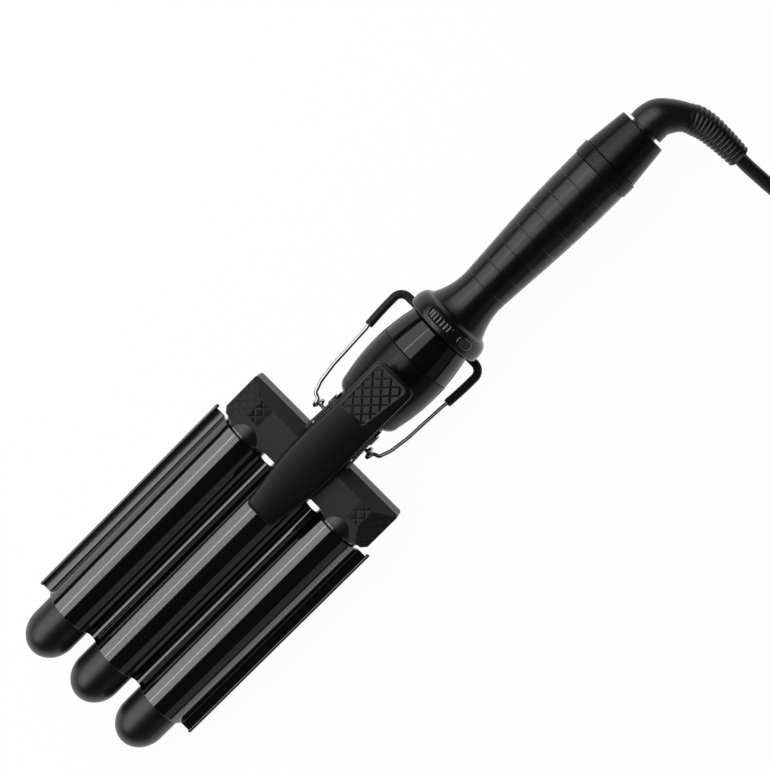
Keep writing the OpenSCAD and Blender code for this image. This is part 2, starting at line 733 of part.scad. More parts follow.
module lever_pad() laid() color("#3a3a3d") {
    on_pad() translate([0, 0, -pad_seat]) {
        linear_extrude(pad_seat + pad_proud - 0.4) pad_outline(0);
        translate([0, 0, pad_seat + pad_proud - 0.4]) linear_extrude(0.4) pad_outline(-0.4);
    }
}

// Section of the plate: one surface of the sheet, from the left rim's middle to the crest at y = 0
valley_y = barrel_pitch / 2;
valley_z = sqrt(pow(arch_out + valley_r, 2) - valley_y * valley_y);
valley_turn = atan2(valley_z, valley_y);
fold_z = lip_z + lip_fold_r;
fold_y = barrel_pitch + sqrt(pow(arch_out + lip_fold_r, 2) - fold_z * fold_z);
fold_turn = atan2(fold_z, fold_y - barrel_pitch);

function arc(y, z, r, from, to, steps) =
    [for (i = [0:steps]) let (a = from + (to - from) * i / steps) [y + r * cos(a), z + r * sin(a)]];
function half_sheet(depth) = concat(
    [[rim_r - plate_w / 2, lip_z - depth]],
    arc(-fold_y, fold_z, lip_fold_r + depth, 270, 360 - fold_turn, 6),
    arc(-barrel_pitch, 0, arch_out - depth, 179 - fold_turn, valley_turn + 1, 28),
    arc(-valley_y, valley_z, valley_r + depth, 180 + valley_turn, 360 - valley_turn, 10),
    arc(0, 0, arch_out - depth, 179 - valley_turn, 90, 12)
);
function sheet(depth) = let (half = half_sheet(depth)) concat(
    half, [for (i = [len(half) - 2:-1:0]) [-half[i][0], half[i][1]]]);
function backwards(path) = [for (i = [len(path) - 1:-1:0]) path[i]];

module wave_plate() laid() color("#0b0b0c") {
    difference() {
        union() {
            front_view(plate_x0, plate_len) polygon(concat(sheet(0), backwards(sheet(plate_t))));
            for (side = [-1, 1])
                translate([0, side * (plate_w / 2 - rim_r), lip_z - plate_t / 2])
                rod(plate_x0 - rim_over, rim_r, plate_len + 2 * rim_over);
        }
        for (x = rivet_places) translate([x, 0, arch_in - 1]) {
            cylinder(r = 1.5, h = 4, $fn = 32);
            cylinder(r = 2.55, h = 1.5, $fn = 32);
        }
    }
}

module plate_rivets() laid() color("#55575a") {
    for (x = rivet_places) translate([x, 0, arch_in + 0.1]) {
        cylinder(r = 1.48, h = 16.5 - arch_in, $fn = 32);
        cylinder(r = 2.5, h = 0.38, $fn = 32);
    }
}

// Torsion spring round the pivot pin: one leg on the neck, one under the pad
spring_d = 1.2;
spring_r = 3.6;
spring_pitch = 1.8;
spring_turns = 5;
spring_top = [pivot_x + 9.4, lever_z(pivot_x + 9.4) - pad_wall - spring_d / 2 - 0.08];
function spring_y(i) = spring_pitch * (i / 8 - spring_turns / 2 - 0.25);
spring_path = concat(
    [[spring_top[0], spring_y(0), spring_top[1]], [pivot_x + 1, spring_y(0), pivot_z + spring_r + 0.3]],
    [for (i = [0:8 * spring_turns + 4])
        [pivot_x - spring_r * sin(45 * i), spring_y(i), pivot_z + spring_r * cos(45 * i)]],
    [for (s = [[1, 0.4], [1.9, 1.9], [2.7, 2.75]])
        [pivot_x + s[0], spring_y(8 * spring_turns + 4 + s[0]), pivot_z - spring_r - s[1]]],
    [[spigot_x - 0.2, spring_y(8 * spring_turns + 8), neck_top + spring_d / 2 + 0.02]]
);

// ---------------------------------------------------------------- stand

// One side of the stand: a curl round the hinge pin, a step outwards, then the leg to the crossbar
eye_y = ear_at(hinge_x) + 0.35 + stand_off + wire_d / 2;
leg_y = eye_y + eye_pitch;
function eye_point(turn, y) = [
    hinge_x + eye_r * cos(90 + stand_fall + turn), y, hinge_z + eye_r * sin(90 + stand_fall + turn)
];
function leg_point(a, y) =
    eye_point(0, y) + a * [cos(stand_fall), 0, sin(stand_fall)];
corner_r = 5;
stand_side = concat(
    [for (i = [8:-1:0]) eye_point(45 * i, eye_y + eye_pitch * (8 - i) / 8)],
    [leg_point(0.9, leg_y + 0.5), leg_point(1.5, leg_y + 1.6), leg_point(1.9, leg_y + 2.7)],
    [leg_point(2.8, leg_y + 3.6), leg_point(4.4, leg_y + 4.1)],
    [leg_point(15.8, stand_half - 2.6), leg_point(18.3, stand_half - 2.3)],
    [leg_point(41, stand_half - 1.2), leg_point(43.5, stand_half - 0.8), leg_point(55.5, stand_half - 0.1)],
    [for (a = [0:15:90]) leg_point(
        stand_leg - corner_r + corner_r * sin(a), stand_half - corner_r + corner_r * cos(a))]
);
stand_path = concat(stand_side, mirrored(stand_side));
sleeve_side = [for (i = [17:len(stand_side) - 1]) stand_side[i]];
sleeve_path = concat(sleeve_side, mirrored(sleeve_side));

module stand_wire() laid() color("#d9dbde") {
    translate([0, stand_off, 0]) tube(stand_path, wire_d / 2, 8, [0, 1, 0]);
}

module stand_sleeve() laid() color("#161618") {
    ends = [sleeve_side[0] - 2 * heading(sleeve_side, 0)];
    translate([0, stand_off, 0]) difference() {
        tube(sleeve_path, sleeve_d / 2, 10, [0, 1, 0]);
        tube(concat(ends, sleeve_path, mirrored(ends)), wire_d / 2 + 0.12, 8, [0, 1, 0]);
    }
}

module lever_spring() laid() color("#9a9ca0") tube(spring_path, spring_d / 2, 6, [0, 1, 0]);

// ---------------------------------------------------------------- round body

function bow_points(x0, x1, less) =
    [for (i = [0:8]) let (x = x0 + (x1 - x0) * i / 8) [x, round_r(x) - less]];

nose_in = nose_x + shell_wall + 1;

module body_front() laid() color("#1b1b1d") {
    edge = round_r(nose_x + nose_r) - nose_r;
    difference() {
        turned(concat(
            [[nose_x, spigot_r + spigot_gap]],
            [for (a = [0:15:75]) [nose_x + nose_r - nose_r * cos(a), edge + nose_r * sin(a)]],
            bow_points(nose_x + nose_r, seam_x - 0.3, 0),
            [[seam_x, round_r(seam_x) - 0.3], [seam_x, round_r(seam_x) - shell_wall]],
            [[nose_in, round_r(nose_x + 4) - shell_wall - 1.5], [nose_in, spigot_r + spigot_gap]]
        ));
        turned(concat(
            [[nose_in, 0], [nose_in, round_r(nose_x + 4) - shell_wall - 1.5]],
            bow_points(nose_x + 6, seam_x, shell_wall),
            [[seam_x, 0]]
        ));
    }
}

module body_rear() laid() color("#101012") {
    lip_x = seam_x - 4;
    difference() {
        union() {
            turned(concat(
                [[seam_x + 0.1, 0], [seam_x + 0.1, round_r(seam_x) - 0.5]],
                [[seam_x + 0.4, round_r(seam_x) - 0.2]],
                bow_points(seam_x + 0.6, body_x - 0.8, 0.1),
                [[body_x, round_r(body_x) - 0.8], [body_x, 0]]
            ));
            turned([
                [lip_x, 0], [lip_x, round_r(lip_x) - shell_wall - spigot_gap],
                [seam_x + 0.2, round_r(seam_x) - shell_wall - spigot_gap], [seam_x + 0.2, 0]
            ]);
            rod(body_x - 1, spigot_r, 1 + ring_gap + 1.5);
        }
        turned([
            [lip_x - 1, 0], [lip_x - 1, round_r(lip_x) - 2 * shell_wall],
            [body_x - shell_wall, round_r(body_x) - 2 * shell_wall], [body_x - shell_wall, 0]
        ]);
        rod(seam_x, spigot_r - 3, 40);
    }
}

// ---------------------------------------------------------------- handle

module on_ring(angle) {
    rotate([angle, 0, 0]) children();
}

control_x = shoulder_x + 1.6;
dial_out = shoulder_r(control_x) + dial_proud - dial_r;
tail_r = 12.2;
handle_screw_places = [waist_x + 8, band_x - 18];

module handle_solid(less, x0) {
    turned(concat(
        [[x0, 0], [x0, ring_r - 0.9 - less], [x0 + 0.4, ring_r - 0.25 - less], [x0 + 1, ring_r - less]],
        [for (a = [0:11.25:78.75]) let (x = shoulder_x + shoulder_len * sin(a)) [x, shoulder_r(x) - less]],
        [for (i = [0:7]) let (x = flare_x + flare_len * i / 8) [x, flare_r(x) - less]],
        [for (i = [0:12]) let (x = waist_x + (band_x - waist_x) * i / 12) [x, grip_at(x) - less]],
        [[band_x, 0]]
    ));
}

module button_outline(grow) {
    r = button_w / 2 + grow;
    run = (button_len - button_w) / 2;
    for (side = [-1, 1]) translate([control_x, side * run]) circle(r = r, $fn = fine);
    translate([control_x - r, -run]) square([2 * r, 2 * run]);
}

module handle_half(over) {
    boss_r = 3.2;
    difference() {
        union() {
            difference() {
                union() {
                    handle_solid(0, ring_x);
                    rod(band_x - 1, tail_r, 1 + band_len + 6);
                }
                intersection() {
                    handle_solid(shell_wall, ring_x + 1.6);
                    rod(ring_x, ring_r, band_x - 2 - ring_x);
                }
                rod(band_x - 3, tail_r - 1.9, 30);
            }
            intersection() {
                handle_solid(0.4, ring_x);
                for (x = handle_screw_places) translate([x, 0, -20]) cylinder(r = boss_r, h = 40, $fn = 48);
            }
        }
        translate([0, -60, over > 0 ? -120 : -seam / 2]) cube([400, 120, 120 + seam / 2]);
        rod(ring_x - 1, spigot_r + spigot_gap, 4);
        for (i = [0:grooves - 1]) translate([waist_x + 3 + i * groove_pitch - groove_w / 2, 0, 0])
            difference() {
                rod(0, 30, groove_w);
                rod(-1, handle_r(waist_x + 3 + i * groove_pitch) - groove_deep, groove_w + 2);
            }
        // window, bearing and shaft hole of the temperature wheel
        on_ring(-dial_angle) translate([0, 0, dial_out]) {
            rod(control_x - dial_w / 2 - control_gap, dial_r + 0.7, dial_w + 2 * control_gap);
            rod(ring_x + 0.6, 1.5 + running, 10);
        }
        on_ring(button_angle) translate([0, 0, 10]) linear_extrude(20) button_outline(control_gap);
        for (x = handle_screw_places) translate([x, 0, -30]) {
            cylinder(r = 1.25 + spigot_gap, h = 34, $fn = 32);
            cylinder(r = 2.8 + spigot_gap, h = 30 - handle_r(x) + 4, $fn = 32);
        }
    }
}

module handle_upper() laid() color("#18181a") handle_half(1);
module handle_lower() laid() color("#18181a") handle_half(-1);

module handle_screws() laid() color("#4a4b4e") {
    for (x = handle_screw_places) translate([x, 0, 4 - handle_r(x)]) {
        translate([0, 0, -2]) cylinder(r = 2.8, h = 2, $fn = 32);
        cylinder(r = 1.25, h = handle_r(x) - 0.5, $fn = 32);
    }
}

module rear_band() laid() color("#1c1c1e") {
    turned([
        [band_x + 0.1, tail_r + spigot_gap], [band_x + 0.1, band_r - 0.5], [band_x + 0.6, band_r],
        [end_x - 0.5, band_r], [end_x, band_r - 0.5], [end_x, tail_r + spigot_gap]
    ]);
}

flange_x = cord_x - 10;

module end_cap() laid() color("#1b1b1d") {
    edge = 0.8;
    turned(concat(
        [[end_x + 0.1, tail_r + spigot_gap], [end_x + 0.1, end_r0 - 0.3], [end_x + 0.4, end_r0]],
        [for (a = [0:22.5:90]) [cord_x - edge + edge * sin(a), end_r1 - edge + edge * cos(a)]],
        [[cord_x, swivel_r + running], [flange_x + 3.2, swivel_r + running], [flange_x + 3.2, tail_r - 1.6]],
        [[end_x + 6.2, tail_r - 1.6], [end_x + 6.2, tail_r + spigot_gap]]
    ));
}

board_x = waist_x + 14;

module control_board() laid() color("#2f6b3c") {
    half = sqrt(pow(grip_at(board_x) - shell_wall, 2) - 1) - 0.1;
    translate([board_x, -half, -1.6]) cube([34, 2 * half, 1.5]);
    translate([board_x + 4, -6, -0.15]) cube([9, 6, 4]);
    translate([board_x + 18, 0, -0.15]) cylinder(r = 4, h = 6, $fn = 32);
    translate([board_x + 26, -7, -0.15]) cube([5, 12, 2]);
}

dial_board_x = control_x + dial_w / 2 + 0.8;

module dial_board() laid() color("#2f6b3c") {
    difference() {
        rod(dial_board_x, shoulder_r(dial_board_x + 1.2) - shell_wall - 0.05, 1.2);
        on_ring(-dial_angle) translate([0, 0, dial_out]) rod(dial_board_x - 1, 1.5 + running, 5);
        rod(dial_board_x - 1, 4, 4);
    }
}

module power_switch() laid() color("#3b3d42") {
    on_ring(button_angle) translate([control_x - 2.4, -6, 10.9]) cube([dial_board_x - control_x + 2.4, 4, 3]);
}

module temperature_dial() laid() color("#101012") {
    on_ring(-dial_angle) translate([0, 0, dial_out]) {
        rod(control_x - dial_w / 2, dial_r - 0.7, dial_w);
        for (i = [0:dial_ridges - 1]) rotate([360 * i / dial_ridges, 0, 0])
            translate([0, 0, dial_r - 0.7]) rod(control_x - dial_w / 2 + 0.3, 0.7, dial_w - 0.6);
        rod(ring_x + 0.8, 1.5, dial_board_x + 2.4 - ring_x);
    }
}

module power_button() laid() color("#151517") {
    top = shoulder_r(control_x) + 0.5;
    on_ring(button_angle) {
        intersection() {
            translate([0, 0, top - 3.1]) linear_extrude(4) button_outline(0);
            rod(control_x - 6, top, 12);
        }
        translate([control_x - 1.5, -3.9, 14.9]) cube([3, 1.6, top - 3 - 14.9]);
    }
}

// ---------------------------------------------------------------- cord

// Middle line of the strain relief in the tool frame, before its droop, and its radii
relief_line = [
    [0, 0], [4, 0], [8.2, -1.2], [12, -4.1], [15.8, -8.4],
    [19, -14.4], [20.6, -20.8], [21.2, -28], [21.4, -35], [21.4, -42]
];
relief_radii = [9.5, 9.45, 9.15, 8.2, 7.2, 6.6, 6.2, 5.7, 5.3, 4.8];
relief_x = cord_x + 1.4;
relief_steps = 3;
function droop(p) = [p[0], p[1] * cos(relief_droop), p[1] * sin(relief_droop)];
relief_path = [for (p = smooth(relief_line, relief_steps)) droop([relief_x + p[0], p[1]])];
relief_smooth = smooth([for (r = relief_radii) [r]], relief_steps);

module strain_relief() laid() color("#17171a") {
    ribs_from = 13;
    radii = [for (i = [0:len(relief_smooth) - 1])
        relief_smooth[i][0] - (i > ribs_from && i % 2 == 0 ? 0.7 : 0)];
    rod(flange_x + 3 - hair, swivel_r, relief_x - flange_x - 3 + 0.5);
    rod(flange_x, swivel_r + 2.8, 3);
    skin(tube_rings(relief_path, radii, 24, [0, 0, 1]));
}

relief_end = laid_point(relief_path[len(relief_path) - 1]);

// Route of the free cord on the table, in the laid frame
coil_at = [266.5, -106];
table_z = cord_d / 2;
coil_out = coil_r + coil_turns * coil_pitch / 2;
coil_in = coil_r - coil_turns * coil_pitch / 2;
coil_start = [coil_at[0] - coil_out, coil_at[1] + cord_d, table_z];
lead_route = concat(
    [relief_end, relief_end + 7 * [0, -cos(relief_droop), -sin(relief_droop)]],
    [[218.5, -66, 9], [220.2, -76, 6.2], [222.5, -85, 4.3], [coil_start[0] - 0.5, -92.5, table_z + 0.1]],
    [coil_start]
);

module cord_lead() color("#141416") tube(smooth(lead_route, 4), cord_d / 2, 8, [0, 0, 1]);

// Four flat layers, inwards and outwards in turn, with a half turn between two that climbs a layer
climb = 0.5;
layers = 4;
layer = coil_pitch;
coil_span = coil_turns + climb;
coil_total = layers * coil_turns + (layers - 1) * climb;
function coil_point(t) =
    let (
        n = min(layers - 1, floor(t / coil_span + 0.0001)),
        s = t - n * coil_span,
        run = min(s, coil_turns),
        up = max(0, min(1, (s - coil_turns) / climb)),
        dip = coil_pitch * climb / 4 * (1 - cos(360 * up)),
        r = n % 2 == 0 ? coil_out - coil_pitch * run - dip : coil_in + coil_pitch * run + dip,
        a = 180 + 360 * t
    )
    [coil_at[0] + r * cos(a), coil_at[1] + r * sin(a), table_z + layer * (n + (3 - 2 * up) * up * up)];
coil_rings = 24;
coil_last = coil_point(coil_total);
coil_path = concat(
    [coil_start],
    [for (i = [0:coil_rings * coil_total]) coil_point(i / coil_rings)],
    [coil_last + [0, cord_d, 0]]
);

// Least gap of the coil to itself, measured between points more than half a turn apart
coil_gap = min([for (i = [0:len(coil_path) - 1], j = [i + 13:len(coil_path) - 1])
    norm(coil_path[i] - coil_path[j])]) - cord_d;
echo("least gap of the coil to itself, mm", coil_gap);
echo("least gap of an eye to itself, mm", eye_pitch - wire_d);
echo("least gap of the spring to itself, mm", spring_pitch - spring_d);

module cord_coil() color("#141416") tube(coil_path, cord_d / 2, 6, [0, 0, 1]);

plug_at = [coil_last[0] - 4, coil_last[1] + 96, plug_body_h / 2];
tail_fall = coil_last[2] - table_z;
tail_route = [
    coil_last + [0, cord_d, 0], coil_last + [0, cord_d + 6, -0.1 * tail_fall / 3],
    coil_last + [-0.4, 24, -0.2 * tail_fall], coil_last + [-1, 37, -0.48 * tail_fall],
    coil_last + [-1.8, 50, -0.78 * tail_fall], coil_last + [-2.7, 63, -0.96 * tail_fall],
    [coil_last[0] - 3.5, coil_last[1] + 76, table_z + 0.3], plug_at + [0, -8, 0], plug_at
];

module cord_tail() color("#141416") tube(smooth(tail_route, 2), cord_d / 2, 8, [0, 0, 1]);

module plug_body() color("#17171a") {
    translate(plug_at) rotate([0, 0, 90]) {
        // flat moulded body with rounded sides, narrowing to the cord
        intersection() {
            translate([0, 0, -plug_body_h / 2]) linear_extrude(plug_body_h) polygon(concat(
                [[0, -6], [6, -6.5]],
                [for (a = [270:15:360]) [plug_body_len - 4 + 4 * cos(a), 4 - plug_body_w / 2 + 4 * sin(a)]],
                [for (a = [0:15:90]) [plug_body_len - 4 + 4 * cos(a), plug_body_w / 2 - 4 + 4 * sin(a)]],
                [[6, 6.5], [0, 6]]
            ));
            front_view(-1, plug_body_len + 2) polygon([
                [-plug_body_w / 2, -3], [-plug_body_w / 2 + 4, -plug_body_h / 2],
                [plug_body_w / 2 - 4, -plug_body_h / 2], [plug_body_w / 2, -3], [plug_body_w / 2, 3],
                [plug_body_w / 2 - 4, plug_body_h / 2], [-plug_body_w / 2 + 4, plug_body_h / 2],
                [-plug_body_w / 2, 3]
            ]);
        }
    }
}

module plug_pins() color("#cfd1d4") {
    for (side = [-1, 1]) translate(plug_at + [side * pin_gap / 2, plug_body_len, 0]) rotate([-90, 0, 0]) {
        cylinder(r = pin_d / 2, h = pin_len - 1, $fn = 48);
        translate([0, 0, pin_len - 1]) cylinder(r1 = pin_d / 2, r2 = pin_d / 2 - 1, h = 1, $fn = 48);
    }
}

echo("coil from the middle, mm", inner = coil_in, outer = coil_out, turns = coil_total);
echo("joint places in the laid frame, mm",
    pivot = laid_point([pivot_x, 0, pivot_z]),
    hinge = laid_point([hinge_x, 0, hinge_z]),
    dial = laid_point([control_x, dial_out * sin(dial_angle), dial_out * cos(dial_angle)]),
    swivel = laid_point([cord_x, 0, 0]), tilt = rest_tilt, shift = shift, lift = lift,
    plug = plug_at, pins = plug_at[1] + plug_body_len, row = [row_x0 + shift, row_x1 + shift]);

barrel_left();
barrel_middle();
barrel_right();
tip_cap_left();
tip_cap_middle();
tip_cap_right();
heater_left();
heater_middle();
heater_right();
heat_spreaders();
barrel_collars();
block_upper();
block_lower();
block_screws();
neck();
pivot_bracket();
bracket_screws();
pivot_pin();
stand_pins();
lever();
lever_pad();
wave_plate();
plate_rivets();
lever_spring();
stand_wire();
stand_sleeve();
body_front();
body_rear();
handle_upper();
handle_lower();
handle_screws();
rear_band();
end_cap();
control_board();
dial_board();
power_switch();
temperature_dial();
power_button();
strain_relief();
cord_lead();
cord_coil();
cord_tail();
plug_body();
plug_pins();
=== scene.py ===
# %% [markdown]
# # A three-barrel hair waver
#
# The tool lies on a table, tilted a little: its three tip caps touch the table at one end and
# its folded wire stand holds the round body up at the other. The shapes that carry mounts and
# joints come from the CAD frame; here each visible piece gets its true surface and finish.

import json
import math

import bmesh
import bpy
from mathutils import Matrix, Vector

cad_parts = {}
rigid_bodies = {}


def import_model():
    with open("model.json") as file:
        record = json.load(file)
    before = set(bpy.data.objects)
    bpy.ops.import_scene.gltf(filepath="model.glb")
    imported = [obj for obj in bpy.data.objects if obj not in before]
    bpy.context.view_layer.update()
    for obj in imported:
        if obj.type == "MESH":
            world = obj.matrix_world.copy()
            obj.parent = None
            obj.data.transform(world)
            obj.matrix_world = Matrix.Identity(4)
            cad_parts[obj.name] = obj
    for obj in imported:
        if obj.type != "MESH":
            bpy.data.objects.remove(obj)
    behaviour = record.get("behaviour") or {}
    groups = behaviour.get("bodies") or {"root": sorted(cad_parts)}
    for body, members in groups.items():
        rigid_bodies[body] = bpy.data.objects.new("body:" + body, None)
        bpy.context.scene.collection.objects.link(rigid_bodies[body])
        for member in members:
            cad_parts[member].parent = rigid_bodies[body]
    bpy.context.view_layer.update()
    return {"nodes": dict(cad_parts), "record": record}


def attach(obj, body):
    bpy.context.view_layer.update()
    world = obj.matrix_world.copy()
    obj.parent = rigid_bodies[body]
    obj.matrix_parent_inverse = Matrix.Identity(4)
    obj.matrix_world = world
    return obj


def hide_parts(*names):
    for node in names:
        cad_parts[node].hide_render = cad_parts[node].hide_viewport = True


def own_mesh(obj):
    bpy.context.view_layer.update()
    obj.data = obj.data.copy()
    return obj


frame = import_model()

# %% [markdown]
# ## Two sets of axes
#
# The tool is easiest to describe along its own axis: x runs from the back of the barrel block
# to the cord, z points to the lever's side, all in millimetres. One matrix lays that frame down
# on the table, in metres, so every helper can work in tool millimetres.

# %% Tool axes to table axes
REST_TURN = Matrix.Rotation(math.radians(-2.4618), 4, "Y")
LAID = Matrix.Translation((-0.015039, 0.0, 0.0197698)) @ REST_TURN @ Matrix.Scale(0.001, 4)


def laid(x, y, z):
    """A point in tool millimetres, as metres on the table."""
    return LAID @ Vector((x, y, z))


def table(x, y, z):
    """A point in millimetres on the table itself, in metres."""
    return Vector((x, y, z)) / 1000


def placed(name, data):
    """A new object in the scene that shows a mesh, curve, lamp or camera."""
    thing = bpy.data.objects.new(name, data)
    bpy.context.collection.objects.link(thing)
    return thing


print("end of the tool:", [round(c, 4) for c in laid(208.8, 0, 0)])

# %% [markdown]
# ## The camera
#
# The tool crosses the picture from the lower left to the upper right. The camera looks down on
# it from 1.1 m through a long lens (19 degrees), leaning a few degrees towards the handle, so
# the handle is a little nearer. It is placed in the tool's own axes, then laid down with it.

# %% Camera
VIEW_LEAN, VIEW_TURN, LENS_ANGLE = math.radians(9.2), math.radians(44.97), math.radians(19.0)
VIEW_AIM, VIEW_DISTANCE = Vector((38.2, 1.15, 0.0)), 1097.0


def make_camera():
    """Camera above the tool: back runs from the tool to the lens, along runs up the diagonal."""
    back = Vector((math.sin(VIEW_LEAN), 0.0, math.cos(VIEW_LEAN)))
    along = Vector((math.cos(VIEW_LEAN), 0.0, -math.sin(VIEW_LEAN)))
    side = back.cross(along)
    right = math.cos(VIEW_TURN) * along - math.sin(VIEW_TURN) * side
    up = math.sin(VIEW_TURN) * along + math.cos(VIEW_TURN) * side
    axes = Matrix((right, up, back)).transposed().to_4x4()
    lens = bpy.data.cameras.new("camera")
    lens.angle = LENS_ANGLE
    camera = placed("camera", lens)
    camera.matrix_world = Matrix.Translation(LAID @ (VIEW_AIM + VIEW_DISTANCE * back)) @ REST_TURN @ axes
    bpy.context.scene.camera = camera
    return camera


camera = make_camera()
print("camera at", [round(c, 3) for c in camera.location])

# %% [markdown]
# ## Making meshes
#
# Nearly all of this tool is turned, swept or skinned. Three small helpers cover that: `turned`
# spins a side profile about the tool's axis, `swept` draws a round section along a path, and
# `skinned` joins rings of points. Each smooths its faces and keeps the true edges sharp.

# %% Mesh helpers
def circle(count):
    """Cosine and sine at even steps of a whole turn."""
    return [(math.cos(a), math.sin(a)) for a in (2 * math.pi * j / count for j in range(count))]


def quarter(count):
    """Cosine and sine at even steps of a quarter turn, both ends included."""
    return [(math.cos(a), math.sin(a)) for a in (math.pi / 2 * i / count for i in range(count + 1))]


def steps_between(x0, x1, count):
    """Even steps from one value to another, both included."""
    return [x0 + (x1 - x0) * i / count for i in range(count + 1)]


def smooth(mesh, sharp):
    """Smooth shading, but for edges sharper than the angle."""
    mesh.shade_smooth()
    mesh.set_sharp_from_angle(angle=math.radians(sharp))


def as_piece(name, points, faces, sharp=35.0):
    """A mesh object from points already on the table in metres."""
    mesh = bpy.data.meshes.new(name)
    mesh.from_pydata([tuple(p) for p in points], [], faces)
    mesh.validate()
    grown = bmesh.new()
    grown.from_mesh(mesh)
    bmesh.ops.remove_doubles(grown, verts=grown.verts, dist=1e-7)
    bmesh.ops.recalc_face_normals(grown, faces=grown.faces)
    grown.to_mesh(mesh)
    grown.free()
    smooth(mesh, sharp)
    return placed(name, mesh)


def ring_faces(rings, sides, closed):
    """Quads between neighbouring rings; closed joins the last to the first, else both ends are flat."""
    faces = []
    last = rings if closed else rings - 1
    for i in range(last):
        for j in range(sides):
            a, b = i * sides + j, i * sides + (j + 1) % sides
            c, d = ((i + 1) % rings) * sides + (j + 1) % sides, ((i + 1) % rings) * sides + j
            faces.append((a, b, c, d))
    if not closed:
        faces.append(tuple(range(sides))[::-1])
        faces.append(tuple((rings - 1) * sides + j for j in range(sides)))
    return faces


def turned(name, profile, sides, y=0.0, closed=False, sharp=35.0):
    """A solid of revolution from [x, radius] pairs, about a line along the tool at y."""
    points = [laid(x, r * c + y, r * s) for x, r in profile for c, s in circle(sides)]
    return as_piece(name, points, ring_faces(len(profile), sides, closed), sharp)


def skinned(name, rings, sharp=35.0, at=laid):
    """A skin over rings of points, each a list of millimetres of the same length."""
    points = [at(*p) for ring in rings for p in ring]
    return as_piece(name, points, ring_faces(len(rings), len(rings[0]), False), sharp)


def headings(path):
    """Unit tangents of a path of vectors."""
    steps = []
    for i in range(len(path)):
        a, b = path[max(0, i - 1)], path[min(len(path) - 1, i + 1)]
        steps.append((b - a).normalized())
    return steps


def swept(name, path, radii, sides, up=Vector((0, 0, 1)), sharp=35.0):
    """A round rod along a path in millimetres, one radius for each point, without a twist."""
    rings = []
    for point, radius, along in zip(path, radii, headings(path)):
        up = (up - up.dot(along) * along).normalized()
        across = along.cross(up)
        rings.append([point + radius * (c * up + s * across) for c, s in circle(sides)])
    return skinned(name, rings, sharp=sharp)


def smooth_path(points, steps):
    """A curve through given points, with as many steps between each two as asked."""
    made = []
    for i in range(len(points) - 1):
        a, b = points[max(0, i - 1)], points[i]
        c, d = points[i + 1], points[min(len(points) - 1, i + 2)]
        for k in range(steps):
            t = k / steps
            line = 2 * b + (c - a) * t
            bend = (2 * a - 5 * b + 4 * c - d) * t * t + (3 * b - a - 3 * c + d) * t**3
            made.append((line + bend) / 2)
    return made + [points[-1]]


print("mesh helpers ready")

# %% [markdown]
# ## The cord
#
# A mains cord is a fixed length of something springy. Here it is one open curve with a round
# bevel, along the route that the CAD solids take: out of the strain relief, down to the table,
# then wound away in four flat layers past the picture's edge, and out to the plug.

# %% Stations along the tool and the strain relief's line
NOSE_X, SEAM_X, BODY_X, RING_X = 22.2, 58.0, 75.2, 76.0
SHOULDER_X, FLARE_X, WAIST_X = 79.4, 85.9, 102.9
BAND_X, END_X, CORD_X = 180.5, 187.8, 208.8
RELIEF_DROOP = math.radians(15)
RELIEF_X = CORD_X + 1.4
RELIEF_LINE = [
    (0, 0), (4, 0), (8.2, -1.2), (12, -4.1), (15.8, -8.4),
    (19, -14.4), (20.6, -20.8), (21.2, -28), (21.4, -35), (21.4, -42),
]
RELIEF_RADII = [9.5, 9.45, 9.15, 8.2, 7.2, 6.6, 6.2, 5.7, 5.3, 4.8]


def drooped(x, y):
    """A point of the relief's line, turned down about the tool's axis."""
    return Vector((RELIEF_X + x, y * math.cos(RELIEF_DROOP), y * math.sin(RELIEF_DROOP)))


relief_end = laid(*drooped(*RELIEF_LINE[-1])) * 1000
print("the cord leaves the relief at", [round(c, 1) for c in relief_end])

# %% The cord's route
CORD_R = 3.4
COIL_AT = Vector((266.5, -106, 0))
COIL_R, COIL_TURNS, COIL_PITCH, COIL_CLIMB, COIL_LAYERS = 36.0, 1.5, 7.45, 0.5, 4
COIL_OUT = COIL_R + COIL_TURNS * COIL_PITCH / 2
COIL_IN = COIL_R - COIL_TURNS * COIL_PITCH / 2
COIL_TOTAL = COIL_LAYERS * COIL_TURNS + (COIL_LAYERS - 1) * COIL_CLIMB
COIL_POINTS = 24


def coil_point(t):
    """The coil after t turns: spirals inwards and outwards in turn, climbing where it reverses."""
    n = min(COIL_LAYERS - 1, math.floor(t / (COIL_TURNS + COIL_CLIMB) + 0.0001))
    s = t - n * (COIL_TURNS + COIL_CLIMB)
    run = min(s, COIL_TURNS)
    up = max(0.0, min(1.0, (s - COIL_TURNS) / COIL_CLIMB))
    dip = COIL_PITCH * COIL_CLIMB / 4 * (1 - math.cos(2 * math.pi * up))
    r = COIL_OUT - COIL_PITCH * run - dip if n % 2 == 0 else COIL_IN + COIL_PITCH * run + dip
    a = math.pi + 2 * math.pi * t
    z = CORD_R + COIL_PITCH * (n + (3 - 2 * up) * up * up)
    return COIL_AT + Vector((r * math.cos(a), r * math.sin(a), z))


